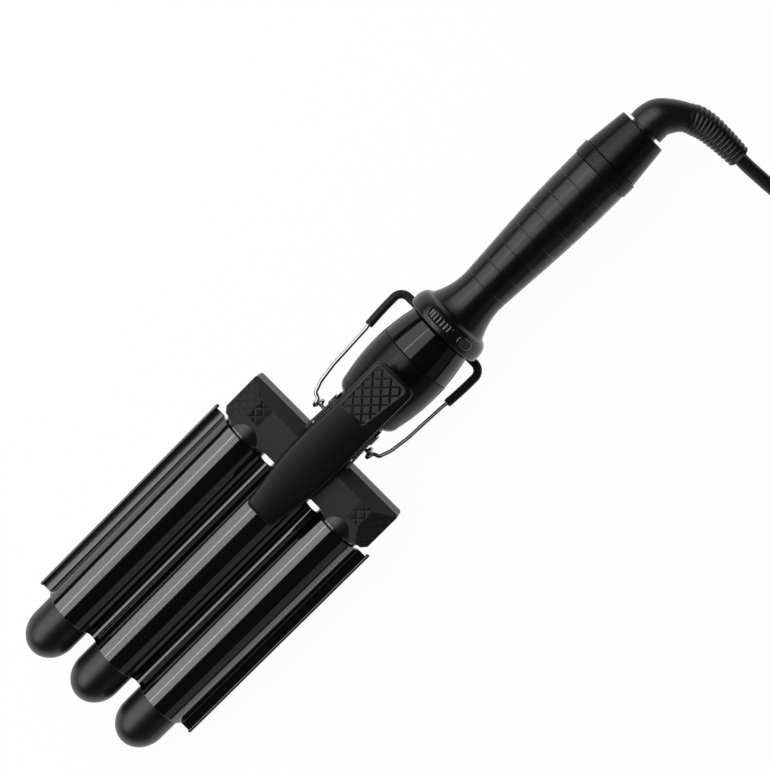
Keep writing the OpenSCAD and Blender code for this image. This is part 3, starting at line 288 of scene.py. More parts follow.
coil = [coil_point(i / COIL_POINTS) for i in range(round(COIL_POINTS * COIL_TOTAL) + 1)]
coil_start = COIL_AT + Vector((-COIL_OUT, 2 * CORD_R, CORD_R))
lead = [
    relief_end, relief_end + 7 * Vector((0, -math.cos(RELIEF_DROOP), -math.sin(RELIEF_DROOP))),
    Vector((218.5, -66, 9)), Vector((220.2, -76, 6.2)), Vector((222.5, -85, 4.3)),
    Vector((coil_start.x - 0.5, -92.5, CORD_R + 0.1)), coil_start,
]
plug_at = coil[-1] + Vector((-4, 96, 0))
plug_at.z = 6.8
fall = coil[-1].z - CORD_R
falling = [
    (0, 6.8, 0), (0, 12.8, 0.1 / 3), (-0.4, 24, 0.2), (-1, 37, 0.48), (-1.8, 50, 0.78), (-2.7, 63, 0.96),
    (-3.5, 76, 1 - 0.3 / fall),
]
tail = [coil[-1] + Vector((x, y, -share * fall)) for x, y, share in falling]
tail += [plug_at + Vector((0, -8, 0)), plug_at]
route = smooth_path(lead, 3) + coil + smooth_path(tail, 2)
print("route:", len(route), "points")


# %% The cord as one curve
def cord_curve(name, path, radius):
    """A round cord along a path on the table, as one open spline."""
    curve = bpy.data.curves.new(name, "CURVE")
    curve.dimensions = "3D"
    curve.bevel_depth = radius / 1000
    curve.bevel_resolution = 6
    curve.resolution_u = 3
    curve.use_fill_caps = True
    spline = curve.splines.new("BEZIER")
    spline.bezier_points.add(len(path) - 1)
    for point, place in zip(spline.bezier_points, path):
        point.co = table(*place)
        point.handle_left_type = point.handle_right_type = "AUTO"
    return placed(name, curve)


cord = cord_curve("mains_cord", route, CORD_R)

# %% [markdown]
# ## Floor, background and light
#
# The picture is a plain product shot: white all round, one long softbox above and to the left
# of the tool with a thin bright strip in it, and a weak one low on the right. The floor shows
# white to the camera and to reflections, but keeps a small share of plain diffuse, so a trace
# of the tool's shadow still lies on it.

# %% Node helpers
def new_material(name):
    """A material, with its nodes, its links and its Principled shader."""
    material = bpy.data.materials.new(name)
    material.use_nodes = True
    nodes, links = material.node_tree.nodes, material.node_tree.links
    return material, nodes, links, nodes["Principled BSDF"]


def feed(tree, value, socket):
    """Gives an input socket a plain number, or a link from an output socket."""
    if isinstance(value, (int, float)):
        socket.default_value = value
    else:
        tree.links.new(value, socket)


def sum_node(tree, operation, *values):
    """A Math node; each value is a number or an output socket."""
    node = tree.nodes.new("ShaderNodeMath")
    node.operation = operation
    for value, socket in zip(values, node.inputs):
        feed(tree, value, socket)
    return node.outputs[0]


def shown_white(tree, share):
    """A factor that is the share for camera, glossy and transmission rays, and 0 for others."""
    rays = tree.nodes.new("ShaderNodeLightPath").outputs
    total = sum_node(tree, "MAXIMUM", rays["Is Camera Ray"], rays["Is Glossy Ray"])
    total = sum_node(tree, "MAXIMUM", total, rays["Is Transmission Ray"])
    return sum_node(tree, "MULTIPLY", total, share)


# %% Floor and world
FLOOR_HALF, FLOOR_GREY, FLOOR_SHARE, WORLD_LEVEL = 3.0, 0.9, 0.97, 0.03


def make_floor():
    """A white floor, 6 m wide, that glows for the camera so that it comes out white."""
    mesh = bpy.data.meshes.new("floor")
    corners = [(FLOOR_HALF * x, FLOOR_HALF * y, 0) for x, y in ((-1, -1), (1, -1), (1, 1), (-1, 1))]
    mesh.from_pydata(corners, [], [(0, 1, 2, 3)])
    floor = placed("floor", mesh)
    material = bpy.data.materials.new("floor_white")
    material.use_nodes = True
    tree = material.node_tree
    tree.nodes.clear()
    plain = tree.nodes.new("ShaderNodeBsdfDiffuse")
    plain.inputs["Color"].default_value = (FLOOR_GREY, FLOOR_GREY, FLOOR_GREY, 1)
    glow = tree.nodes.new("ShaderNodeEmission")
    glow.inputs["Strength"].default_value = 1.0
    mix = tree.nodes.new("ShaderNodeMixShader")
    out = tree.nodes.new("ShaderNodeOutputMaterial")
    given = (shown_white(tree, FLOOR_SHARE), plain.outputs[0], glow.outputs[0])
    for value, socket in zip(given, mix.inputs):
        tree.links.new(value, socket)
    tree.links.new(mix.outputs[0], out.inputs["Surface"])
    floor.data.materials.append(material)


def make_world(strength):
    """Plain grey light from all round, shown white where the camera sees past the floor."""
    world = bpy.data.worlds.new("studio")
    world.use_nodes = True
    tree = world.node_tree
    back = tree.nodes["Background"]
    path = tree.nodes.new("ShaderNodeLightPath")
    level = tree.nodes.new("ShaderNodeMapRange")
    level.inputs["To Min"].default_value = strength
    level.inputs["To Max"].default_value = 1.0
    tree.links.new(path.outputs["Is Camera Ray"], level.inputs["Value"])
    tree.links.new(level.outputs["Result"], back.inputs["Strength"])
    back.inputs["Color"].default_value = (1, 1, 1, 1)
    bpy.context.scene.world = world


make_floor()
make_world(WORLD_LEVEL)
bpy.context.scene.view_settings.view_transform = "Standard"
print("floor and world ready")

# %% Softboxes
LAMP_X = 20.0
# Rows: name, angle from straight up towards the left, distance, width across the tool, length
# along it, radiance, and the shift along the tool, with lengths in millimetres.
SOFTBOXES = [
    ("key_softbox", 39.5, 1500, 1850, 4200, 2.4, -900),
    ("key_strip", 34.5, 1440, 60, 4000, 6.0, -900),
    ("rim_softbox", -66, 1300, 700, 3600, 0.22, -600),
]


def softbox(name, angle, reach, wide, long, radiance, along):
    """An area lamp that faces the tool."""
    a = math.radians(angle)
    out = Vector((0.0, math.sin(a), math.cos(a)))
    lamp = bpy.data.lights.new(name, "AREA")
    lamp.shape = "RECTANGLE"
    lamp.size, lamp.size_y = long / 1000, wide / 1000
    lamp.energy = radiance * math.pi * lamp.size * lamp.size_y
    side = Vector((1.0, 0.0, 0.0))
    axes = Matrix((side, out.cross(side), out)).transposed().to_4x4()
    place = Vector((LAMP_X + along, 0.0, 0.0)) + reach * out
    placed(name, lamp).matrix_world = Matrix.Translation(LAID @ place) @ axes


for row in SOFTBOXES:
    softbox(*row)

# %% [markdown]
# ## Surface effects shared by the finishes
#
# Nearly everything here is black, so the finishes differ in gloss and in fine relief. Two node
# groups hold what they share: the grain of moulded plastic, and the soft unevenness and faint
# lint that handling leaves in a gloss. Each has named inputs, and each material places the
# group with its own values.

# %% A small kit for node groups
def new_group(name, inputs, outputs):
    """A shader node group with named float or colour sockets, as [name, kind, value] lists."""
    tree = bpy.data.node_groups.new(name, "ShaderNodeTree")
    for label, kind, value in inputs:
        socket = tree.interface.new_socket(label, in_out="INPUT", socket_type="NodeSocket" + kind)
        socket.default_value = value
    for label, kind in outputs:
        tree.interface.new_socket(label, in_out="OUTPUT", socket_type="NodeSocket" + kind)
    return tree, tree.nodes.new("NodeGroupInput"), tree.nodes.new("NodeGroupOutput")


def noise_node(tree, place, scale, detail=2.0):
    """Noise over the object, its scale a number or a socket."""
    node = tree.nodes.new("ShaderNodeTexNoise")
    node.inputs["Detail"].default_value = detail
    tree.links.new(place, node.inputs["Vector"])
    feed(tree, scale, node.inputs["Scale"])
    return node.outputs[0]


# %% Uneven roughness and moulded grain
SHADES_PER_METRE, SMEARS_PER_METRE, LINT_PER_METRE = 60.0, 34.0, 900.0
LINT_FROM, LINT_TO = 0.66, 0.8


def uneven_roughness(tree, given, out, swing):
    """Roughness that goes up and down with the swing, by the group's own spread."""
    spread, level = given.outputs["Roughness Spread"], given.outputs["Roughness"]
    tree.links.new(sum_node(tree, "MULTIPLY_ADD", swing, spread, level), out.inputs["Roughness"])


def moulded_grain():
    """Fine spark-eroded grain: a height for Bump and a roughness that follows it a little."""
    tree, given, out = new_group(
        "moulded_grain",
        [["Grains per Metre", "Float", 2600.0],
         ["Roughness", "Float", 0.5], ["Roughness Spread", "Float", 0.1]],
        [["Height", "Float"], ["Roughness", "Float"]],
    )
    place = tree.nodes.new("ShaderNodeTexCoord").outputs["Object"]
    fine = noise_node(tree, place, given.outputs["Grains per Metre"], 3.0)
    broad = noise_node(tree, place, SHADES_PER_METRE)
    tree.links.new(fine, out.inputs["Height"])
    swing = sum_node(tree, "SUBTRACT", sum_node(tree, "ADD", fine, broad), 1.0)
    uneven_roughness(tree, given, out, swing)
    return tree


# %% Handled gloss
def handled_gloss():
    """Gloss that handling and wiping have left a little uneven, with faint lint in the colour."""
    tree, given, out = new_group(
        "handled_gloss",
        [["Base", "Color", (0.01, 0.01, 0.01, 1)], ["Lint", "Color", (0.05, 0.05, 0.05, 1)],
         ["Roughness", "Float", 0.1], ["Roughness Spread", "Float", 0.06], ["Wave Depth", "Float", 0.3]],
        [["Color", "Color"], ["Roughness", "Float"], ["Height", "Float"]],
    )
    place = tree.nodes.new("ShaderNodeTexCoord").outputs["Object"]
    smear = noise_node(tree, place, SMEARS_PER_METRE, 4.0)
    specks = noise_node(tree, place, LINT_PER_METRE, 1.0)
    ramp = tree.nodes.new("ShaderNodeMapRange")
    ramp.inputs["From Min"].default_value = LINT_FROM
    ramp.inputs["From Max"].default_value = LINT_TO
    tree.links.new(specks, ramp.inputs["Value"])
    mix = tree.nodes.new("ShaderNodeMix")
    mix.data_type = "RGBA"
    tree.links.new(ramp.outputs["Result"], mix.inputs["Factor"])
    tree.links.new(given.outputs["Base"], mix.inputs["A"])
    tree.links.new(given.outputs["Lint"], mix.inputs["B"])
    tree.links.new(mix.outputs["Result"], out.inputs["Color"])
    uneven_roughness(tree, given, out, sum_node(tree, "SUBTRACT", smear, 0.5))
    tree.links.new(sum_node(tree, "MULTIPLY", smear, given.outputs["Wave Depth"]), out.inputs["Height"])
    return tree


GRAIN = moulded_grain()
GLOSS = handled_gloss()
print("groups:", GRAIN.name, GLOSS.name)


# %% Placing a group in a finish
def place_group(nodes, tree, **values):
    """The group in a material, its inputs set by name."""
    node = nodes.new("ShaderNodeGroup")
    node.node_tree = tree
    for socket, value in values.items():
        node.inputs[socket.replace("_", " ")].default_value = value
    return node


def bump_from(nodes, links, height, shader, distance):
    """A Bump node of that depth in metres, between a height and the shader's Normal."""
    bump = nodes.new("ShaderNodeBump")
    bump.inputs["Distance"].default_value = distance
    links.new(height, bump.inputs["Height"])
    links.new(bump.outputs["Normal"], shader.inputs["Normal"])


def grey(level, tint=0.0):
    """A linear grey, a touch bluer with the tint."""
    return (level * (1 - tint), level * (1 - 0.6 * tint), level * (1 + tint), 1.0)


def moulded(name, level, rough, spread=0.08, grains=2600.0, depth=0.00003, tint=0.0, specular=0.5):
    """A moulded plastic or rubber: plain colour with faint lint, and fine grain in the light."""
    material, nodes, links, shader = new_material(name)
    shader.inputs["Specular IOR Level"].default_value = specular
    grain = place_group(nodes, GRAIN, Grains_per_Metre=grains, Roughness=rough, Roughness_Spread=spread)
    lint = place_group(nodes, GLOSS, Base=grey(level, tint), Lint=grey(level * 1.8 + 0.004, tint))
    links.new(lint.outputs["Color"], shader.inputs["Base Color"])
    links.new(grain.outputs["Roughness"], shader.inputs["Roughness"])
    bump_from(nodes, links, grain.outputs["Height"], shader, depth)
    return material


def glossy(name, level, rough, spread=0.05, wave=0.00002, specular=0.7, metallic=0.0):
    """A polished or lacquered surface with the faint unevenness of real gloss."""
    material, nodes, links, shader = new_material(name)
    shader.inputs["Specular IOR Level"].default_value = specular
    shader.inputs["Metallic"].default_value = metallic
    gloss = place_group(
        nodes, GLOSS, Base=grey(level), Lint=grey(level * 1.5 + 0.006), Roughness=rough,
        Roughness_Spread=spread, Wave_Depth=1.0,
    )
    links.new(gloss.outputs["Color"], shader.inputs["Base Color"])
    links.new(gloss.outputs["Roughness"], shader.inputs["Roughness"])
    bump_from(nodes, links, gloss.outputs["Height"], shader, wave)
    return material


# %% The finishes
FINISH = {
    "plate_coat": glossy("high_gloss_plate", 0.001, 0.07, 0.03, specular=1.0),
    "barrel_coat": glossy("ceramic_barrel", 0.006, 0.16, 0.05, specular=0.9),
    "heat_plastic": moulded("matt_heat_plastic", 0.004, 0.33, specular=0.42),
    "block_plastic": moulded("satin_block_plastic", 0.024, 0.42, 0.05, specular=0.15),
    # The quilt skins: the block's plastic made darker, as painted shade on its ends.
    "quilt_painted_shade": moulded("quilted_block_painted_shade", 0.01, 0.42, specular=0.15),
    "neck_plastic": moulded("neck_plastic", 0.005, 0.5, specular=0.4),
    "lever_plastic": moulded("satin_lever_plastic", 0.004, 0.26, 0.05, tint=0.12, specular=0.2),
    "pad_plastic": moulded("grooved_pad_plastic", 0.024, 0.4, specular=0.25),
    "sleeve_rubber": moulded("sleeve_rubber", 0.004, 0.55, grains=1800.0, specular=0.3),
    "body_satin": moulded("satin_body", 0.003, 0.24, 0.05, specular=0.2),
    "body_gloss": glossy("gloss_body", 0.0025, 0.1, specular=0.32),
    "grip_soft": moulded("soft_touch_grip", 0.003, 0.24, 0.04, grains=3200.0, specular=0.38),
    "band_plastic": moulded("band_plastic", 0.003, 0.26, specular=0.2),
    "control_gloss": glossy("control_gloss", 0.004, 0.16, specular=0.8),
    "relief_rubber": moulded("relief_rubber", 0.004, 0.34, grains=2000.0, specular=0.4),
    "cord_jacket": moulded("cord_jacket", 0.005, 0.42, 0.1, grains=1500.0, specular=0.4),
    "plug_plastic": moulded("plug_plastic", 0.006, 0.42, specular=0.4),
    "bright_steel": glossy("bright_steel", 0.4, 0.2, 0.06, metallic=1.0),
    "dull_steel": glossy("dull_steel", 0.1, 0.3, 0.1, metallic=1.0),
    "plain_steel": glossy("plain_steel", 0.5, 0.3, 0.12, metallic=1.0),
    "spring_steel": glossy("spring_steel", 0.34, 0.28, 0.1, metallic=1.0),
    "spreader_metal": glossy("extruded_aluminium", 0.62, 0.36, 0.12, metallic=1.0),
    "heater_ceramic": moulded("fired_ceramic", 0.72, 0.4, depth=0.00002, tint=-0.05),
    "board_green": glossy("board_mask", 0.05, 0.3),
    "switch_plastic": moulded("switch_plastic", 0.07, 0.45),
}


def finish_of(piece, slot, *nodes, body=None, finish=None):
    """Gives a new piece its finish, hides the CAD nodes it replaces, and makes it ride on its body."""
    piece.data.materials.clear()
    piece.data.materials.append(FINISH[finish or slot])
    if nodes:
        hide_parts(*nodes)
    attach(piece, body)
    return piece


print("finishes:", len(FINISH))

# %% [markdown]
# ## The barrels' end: tip caps and wave plate
#
# The caps are turned: a short straight skirt and a rounded end. The wave plate is the part that
# gives the tool its name: one sheet folded into three arches that sit over the barrels, with
# tight folds between them and a flat lip with a rolled rim on each side. Its section is drawn
# with arcs and extruded; the last half millimetre at each end is drawn in to round the cut edge,
# and the rear end has a shallow round notch at each fold.

# %% Tip caps
BARREL_PITCH = 31.0
CAP_R, DOME_X, DOME_LEN, CAP_X1 = 12.7, -164.5, 14.7, -149.51


def tip_cap(name, side):
    """A cap of heat-proof plastic on the end of one barrel."""
    profile = [(CAP_X1, 6.0), (CAP_X1, CAP_R - 0.35), (CAP_X1 - 0.12, CAP_R - 0.1), (CAP_X1 - 0.4, CAP_R)]
    profile += [(DOME_X - DOME_LEN * s, CAP_R * c) for c, s in quarter(33)[:-1]]
    return turned(name + "_end", profile, 96, side * BARREL_PITCH, sharp=50)


for label, side in (("left", 1), ("middle", 0), ("right", -1)):
    node = "tip_cap_" + label
    finish_of(tip_cap(node, side), "heat_plastic", node, body="base")
print("tip caps: 3")

# %% Wave plate section
PLATE_X0, PLATE_X1, PLATE_T, PLATE_W = -151.5, -26.3, 1.2, 103.9
SHEET_X1 = PLATE_X1 - 1.1
NOTCH_HALF, NOTCH_DEEP, NOTCH_RUN = 3.4, 1.3, 6.0
ARCH_R, VALLEY_R, LIP_FOLD_R, LIP_Z, RIM_R = 14.4, 3.0, 1.5, 1.6, 0.9
VALLEY_Y = BARREL_PITCH / 2
VALLEY_Z = math.sqrt((ARCH_R + VALLEY_R) ** 2 - VALLEY_Y**2)
VALLEY_TURN = math.degrees(math.atan2(VALLEY_Z, VALLEY_Y))
FOLD_Z = LIP_Z + LIP_FOLD_R
FOLD_Y = BARREL_PITCH + math.sqrt((ARCH_R + LIP_FOLD_R) ** 2 - FOLD_Z**2)
FOLD_TURN = math.degrees(math.atan2(FOLD_Z, FOLD_Y - BARREL_PITCH))


def arc(y, z, r, start, end, steps):
    """Points of an arc in a section, angles in degrees."""
    turns = [math.radians(start + (end - start) * i / steps) for i in range(steps + 1)]
    return [(y + r * math.cos(a), z + r * math.sin(a)) for a in turns]


def plate_line(depth):
    """The folded sheet's line at a depth under its top face, from the left rim to the right."""
    half = [(RIM_R - PLATE_W / 2, LIP_Z - depth)]
    half += arc(-FOLD_Y, FOLD_Z, LIP_FOLD_R + depth, 270, 360 - FOLD_TURN, 8)
    half += arc(-BARREL_PITCH, 0, ARCH_R - depth, 179 - FOLD_TURN, VALLEY_TURN + 1, 48)
    half += arc(-VALLEY_Y, VALLEY_Z, VALLEY_R + depth, 180 + VALLEY_TURN, 360 - VALLEY_TURN, 16)
    half += arc(0, 0, ARCH_R - depth, 179 - VALLEY_TURN, 90, 24)
    return half + [(-y, z) for y, z in reversed(half[:-1])]


# %% Wave plate and its rims
def valley_notch(y):
    """How far the sheet's rear end is cut back at y: a round notch at each fold."""
    off = (abs(y) - VALLEY_Y) / NOTCH_HALF
    return NOTCH_DEEP * math.sqrt(max(0.0, 1 - off * off))


def wave_plate():
    """The sheet, its cut ends rounded by rings that draw in to its middle."""
    rings = []
    ends = [(0.0, 0.45), (0.08, 0.25), (0.25, 0.08), (0.5, 0.0)]
    stations = [(PLATE_X0 + x, d) for x, d in ends] + [(SHEET_X1 - NOTCH_RUN, 0.0)]
    stations += [(SHEET_X1 - x, d) for x, d in reversed(ends)]
    for x, drawn in stations:
        section = plate_line(drawn) + plate_line(PLATE_T - drawn)[::-1]
        share = max(0.0, (x - SHEET_X1 + NOTCH_RUN) / NOTCH_RUN)
        rings.append([(x - valley_notch(y) * share, y, z) for y, z in section])
    return skinned("wave_sheet", rings)


def bead_path(x0, x1, y, z, r):
    """Points and radii of a straight bead with half-round ends."""
    insets = [(r * (1 - s), r * max(0.03, c)) for c, s in reversed(quarter(6))]
    path = [Vector((x0 + inset, y, z)) for inset, width in insets]
    path += [Vector((x1 - inset, y, z)) for inset, width in reversed(insets)]
    radii = [width for inset, width in insets]
    return path, radii + radii[::-1]


def plate_rim(name, side):
    """The rolled rim along one lip, a little longer than the sheet."""
    y, z = side * (PLATE_W / 2 - RIM_R), LIP_Z - PLATE_T / 2
    path, radii = bead_path(PLATE_X0 - 0.7, PLATE_X1 + 0.7, y, z, RIM_R)
    return swept(name, path, radii, 20)


finish_of(wave_plate(), "plate_coat", "wave_plate", body="clamp")
for label, side in (("left", 1), ("right", -1)):
    finish_of(plate_rim("plate_rim_" + label, side), "plate_coat", "wave_plate", body="clamp")
print("wave plate section points:", len(plate_line(0)))

# %% [markdown]
# ## The lever and its pad
#
# The lever is one moulding: a narrow rounded front riveted to the plate's middle arch, a wide
# channel over the block that straddles the pivot, and a slope for the thumb. It is lofted from
# rings across the tool. Each ring has a filleted top and a lower line that follows what lies
# under it: the arch, the block, or the inside of the channel.

# %% Lever outline
PIVOT_X, PIVOT_Z = 17.5, 11.0
LEVER_X1, LEVER_TOP, LEVER_WALL, BLOCK_CLEAR = 50.4, 20.4, 2.2, 15.0
BEND_X, BEND_LEN, PAD_SLOPE = PIVOT_X - 2, 11.4, math.radians(19.8)
FRONT_FALL, FRONT_LEN, FALL_POWER = 0.45, 17.5, 1.3
FRONT_SKIN, SLOPE_SKIN = 3.1, 2.45
ARCH_END_X, BLOCK_END_X, SLOPE_EDGE_X, TAIL_X = -26.8, 2.0, 28.2, 47.4


def lever_z(x):
    """Height of the lever's top along the tool: a slow fall in front, a bend, then the slope."""
    if x < BEND_X:
        return LEVER_TOP - FRONT_FALL * ((BEND_X - x) / FRONT_LEN) ** FALL_POWER
    bent = min(x - BEND_X, BEND_LEN)
    return LEVER_TOP + math.tan(PAD_SLOPE) * (bent**2 / (2 * BEND_LEN) + x - BEND_X - bent)


# Stations: [x, half width, height over lever_z, edge radius]
LEVER_STATIONS = [
    (-47.2, 5.2, -3.0, 0.7), (-47.1, 6.1, -2.4, 1.0), (-46.7, 7.1, -1.5, 1.4), (-45.9, 8.0, -0.7, 1.8),
    (-44.6, 8.5, -0.2, 2.1), (-42.5, 8.8, 0.0, 2.3), (-36.5, 9.8, 0.0, 2.4), (-30.3, 10.7, 0.0, 2.5),
    (-26.81, 11.2, 0.0, 2.5), (-26.79, 11.2, 0.0, 2.5), (-22, 11.9, 0.0, 2.6), (-17.1, 12.4, 0.0, 2.6),
    (-8, 12.7, 0.0, 2.6), (0.4, 12.8, 0.0, 2.6), (1.99, 12.75, 0.0, 2.6), (2.01, 12.75, 0.0, 2.6),
    (8.2, 12.47, 0.0, 2.6), (11.5, 12.33, 0.0, 2.6), (13.4, 12.25, 0.0, 2.6), (15.3, 12.17, 0.0, 2.6),
    (17.5, 12.1, 0.0, 2.5), (19.5, 12.0, 0.0, 2.3), (21.3, 11.9, 0.0, 1.9), (21.9, 11.85, 0.0, 1.8),
    (24.1, 11.8, 0.0, 1.5), (28.2, 11.7, 0.0, 1.3), (38, 11.65, 0.0, 1.2), (46.4, 11.6, 0.0, 1.2),
    (48.0, 11.3, 0.0, 1.2), (49.1, 10.5, -0.1, 1.1), (49.9, 9.4, -0.35, 1.0), (50.3, 8.2, -0.7, 0.8),
    (50.4, 7.2, -1.0, 0.6),
]
# The side walls' lower edge: [x, height]
LEVER_EDGE = [
    (0.4, 15.0), (8.2, 13.4), (13.4, 8.2), (15.3, 6.5),
    (19.5, 6.5), (21.3, 8.9), (21.9, 12.4), (24.1, 15.8),
]


def lever_lower(x, y, half):
    """The lower line of the lever at y: on the arch, over the block, or round the channel."""
    if x < ARCH_END_X:
        return math.sqrt(ARCH_R**2 - y * y) + 0.02
    if x < BLOCK_END_X and abs(y) < half - LEVER_WALL + 0.1:
        return BLOCK_CLEAR
    if abs(y) < half - LEVER_WALL:
        return lever_z(x) - (FRONT_SKIN if x < BEND_X else SLOPE_SKIN)
    if x <= LEVER_EDGE[0][0]:
        return BLOCK_CLEAR
    for (x0, z0), (x1, z1) in zip(LEVER_EDGE, LEVER_EDGE[1:]):
        if x <= x1:
            return z0 + (z1 - z0) * (x - x0) / (x1 - x0)
    under = lever_z(min(x, TAIL_X)) - SLOPE_SKIN
    return under + 0.35 * max(0.0, x - TAIL_X) - 0.3 * max(0.0, SLOPE_EDGE_X - x)


# %% Lever
CROWN, CROWN_HALF = 0.5, 12.8
WALL_OUTSIDE, WALL_INSIDE = 1.0099, 0.97


def lever_ring(x, half, rise, edge):
    """One ring of the lever: lower right corner, over the top, then back along the lower line."""
    top = lever_z(x) + rise
    crown = CROWN * half / CROWN_HALF
    right = [(half, lever_lower(x, half, half))]
    right += arc(half - edge, top - crown - edge, edge, 0, 90, 6)
    right += [((half - edge) * k / 4, top - crown * (k / 4) ** 2) for k in (3, 2, 1)]
    over = right + [(0.0, top)] + [(-y, z) for y, z in reversed(right)]
    wall = LEVER_WALL / half
    shares = [wall - WALL_OUTSIDE, wall - WALL_INSIDE, -0.6, -0.3, 0.0]
    shares += [-share for share in reversed(shares[:-1])]
    under = [(share * half, lever_lower(x, share * half, half)) for share in shares]
    return [(x, y, z) for y, z in over + under]


lever = skinned("thumb_lever", [lever_ring(*station) for station in LEVER_STATIONS], sharp=40)
finish_of(lever, "lever_plastic", "lever", body="clamp")
print("lever rings:", len(LEVER_STATIONS))

# %% [markdown]
# The pad is a soft insert let into the slope. Its diamonds are moulded, so they are real relief
# here: a fine grid over the pad's outline whose height drops along two families of grooves,
# inside a plain border.

# %% Thumb pad
PAD_LEN, PAD_FRONT, PAD_BACK, PAD_CORNER = 31.2, 7.8, 9.7, 2.4
PAD_PROUD, PAD_SEAT, PAD_FRONT_OFF, PAD_OFF = 0.8, 1.2, 2.2, 1.0
PAD_X1, PAD_MIDDLE, PAD_SUNK = LEVER_X1 - 1.6, 15, 0.15
PAD_START = PAD_X1 - PAD_LEN * math.cos(PAD_SLOPE)
PAD_LEVEL = lever_z(PAD_START + PAD_MIDDLE) - PAD_MIDDLE * math.tan(PAD_SLOPE) - PAD_SUNK
GROOVE_TURN, GROOVE_STEP, GROOVE_W, GROOVE_DEEP = math.radians(38.5), 4.4, 0.55, 1.1
BORDER, BORDER_RUN, BORDER_SINK, EDGE_RUN, EDGE_DROP = 1.0, 0.3, 0.12, 0.6, 0.45
PAD_ROWS, PAD_COLUMNS, PAD_INSET = 190, 116, 0.02


def on_pad(u, v, h):
    """A point of the pad: u up the slope, v across, h out of it, in tool millimetres."""
    c, s = math.cos(PAD_SLOPE), math.sin(PAD_SLOPE)
    off = PAD_FRONT_OFF + (PAD_OFF - PAD_FRONT_OFF) * u / PAD_LEN
    return (PAD_START + u * c - h * s, v + off, PAD_LEVEL + u * s + h * c)


def pad_half(u):
    """Half width of the pad with its rounded corners."""
    half = PAD_FRONT + (PAD_BACK - PAD_FRONT) * u / PAD_LEN
    near = min(u, PAD_LEN - u, PAD_CORNER)
    return half - PAD_CORNER + math.sqrt(max(0.0, PAD_CORNER**2 - (PAD_CORNER - near) ** 2))


def crossed_grooves(u, v, turn, step, width, power):
    """0 on a diamond and 1 at the bottom of a groove, for two families of grooves."""
    deep = 0.0
    for side in (1, -1):
        across = u * math.sin(side * turn) + v * math.cos(turn)
        off = abs((across / step + 0.5) % 1.0 - 0.5) * step
        deep = max(deep, 1 - min(1.0, off / width) ** power)
    return deep


def pad_height(u, v, half):
    """Height of the pad's face, with its border, edge round and grooves."""
    inside = min(u, PAD_LEN - u, half - abs(v))
    border = min(1.0, max(0.0, (inside - BORDER) / BORDER_RUN))
    round_off = EDGE_DROP * (1 - min(1.0, inside / EDGE_RUN)) ** 2
    deep = crossed_grooves(u - PAD_LEN / 2, v, GROOVE_TURN, GROOVE_STEP, GROOVE_W, 3)
    return PAD_PROUD - round_off - BORDER_SINK * border - GROOVE_DEEP * border * deep


def thumb_pad():
    """The pad from rings across it, denser than its grooves."""
    rings = []
    for u in steps_between(PAD_INSET, PAD_LEN - PAD_INSET, PAD_ROWS):
        half = pad_half(u)
        ring = [on_pad(u, v, pad_height(u, v, half)) for v in steps_between(-half, half, PAD_COLUMNS)]
        rings.append([on_pad(u, -half, -PAD_SEAT)] + ring + [on_pad(u, half, -PAD_SEAT)])
    return skinned("grooved_pad", rings, sharp=60)


finish_of(thumb_pad(), "pad_plastic", "lever_pad", body="clamp")
print("pad from x", round(PAD_START, 1), "to", PAD_X1)

# %% [markdown]
# ## The stand
#
# One bent wire: a curl round each hinge pin, a step outwards, long legs under the body and a
# crossbar, with a rubber sleeve on its far half. The sleeve is what the tool rests on.

# %% Stand wire's path
HINGE_X, HINGE_Z, WIRE_R, EYE_R, EYE_PITCH = 8.8, -3.0, 1.0, 2.15, 2.5
STAND_HALF, STAND_OFF, SLEEVE_R, CORNER_R = 27.5, 0.5, 2.15, 5.0
HINGE_BOSS, HINGE_GAP = 1.5, 0.35
CROSSBAR_X = BODY_X - 1.8
BODY_R, BELLY_X, BODY_BOW, FRONT_BOW = 20.3, 51.0, 95.0, 106.0


def round_r(x):
    """Radius of the round body along the tool."""
    return BODY_R - (x - BELLY_X) ** 2 / (2 * (FRONT_BOW if x < BELLY_X else BODY_BOW))


CROSSBAR_Z = -(round_r(CROSSBAR_X - SLEEVE_R) + SLEEVE_R + 0.5)
STAND_REACH = math.hypot(CROSSBAR_X - HINGE_X, CROSSBAR_Z - HINGE_Z)
STAND_FALL = math.atan2(CROSSBAR_Z - HINGE_Z, CROSSBAR_X - HINGE_X) - math.asin(EYE_R / STAND_REACH)
STAND_LEG = math.sqrt(STAND_REACH**2 - EYE_R**2)
NECK_HALF = 12.9 - 0.9 * HINGE_X / NOSE_X
EYE_Y = NECK_HALF + HINGE_BOSS + HINGE_GAP + STAND_OFF + WIRE_R
LEG_Y = EYE_Y + EYE_PITCH


def eye_point(turn, y):
    """A point of the curls round a hinge pin, the turn in radians."""
    a = math.pi / 2 + STAND_FALL + turn
    return Vector((HINGE_X + EYE_R * math.cos(a), y, HINGE_Z + EYE_R * math.sin(a)))


def leg_point(a, y):
    """A point a along the leg from the curls."""
    along = Vector((math.cos(STAND_FALL), 0, math.sin(STAND_FALL)))
    return eye_point(0, 0) + a * along + Vector((0, y, 0))


def mirrored(path):
    """A path's other side, in reverse."""
    return [Vector((p.x, -p.y, p.z)) for p in reversed(path)]


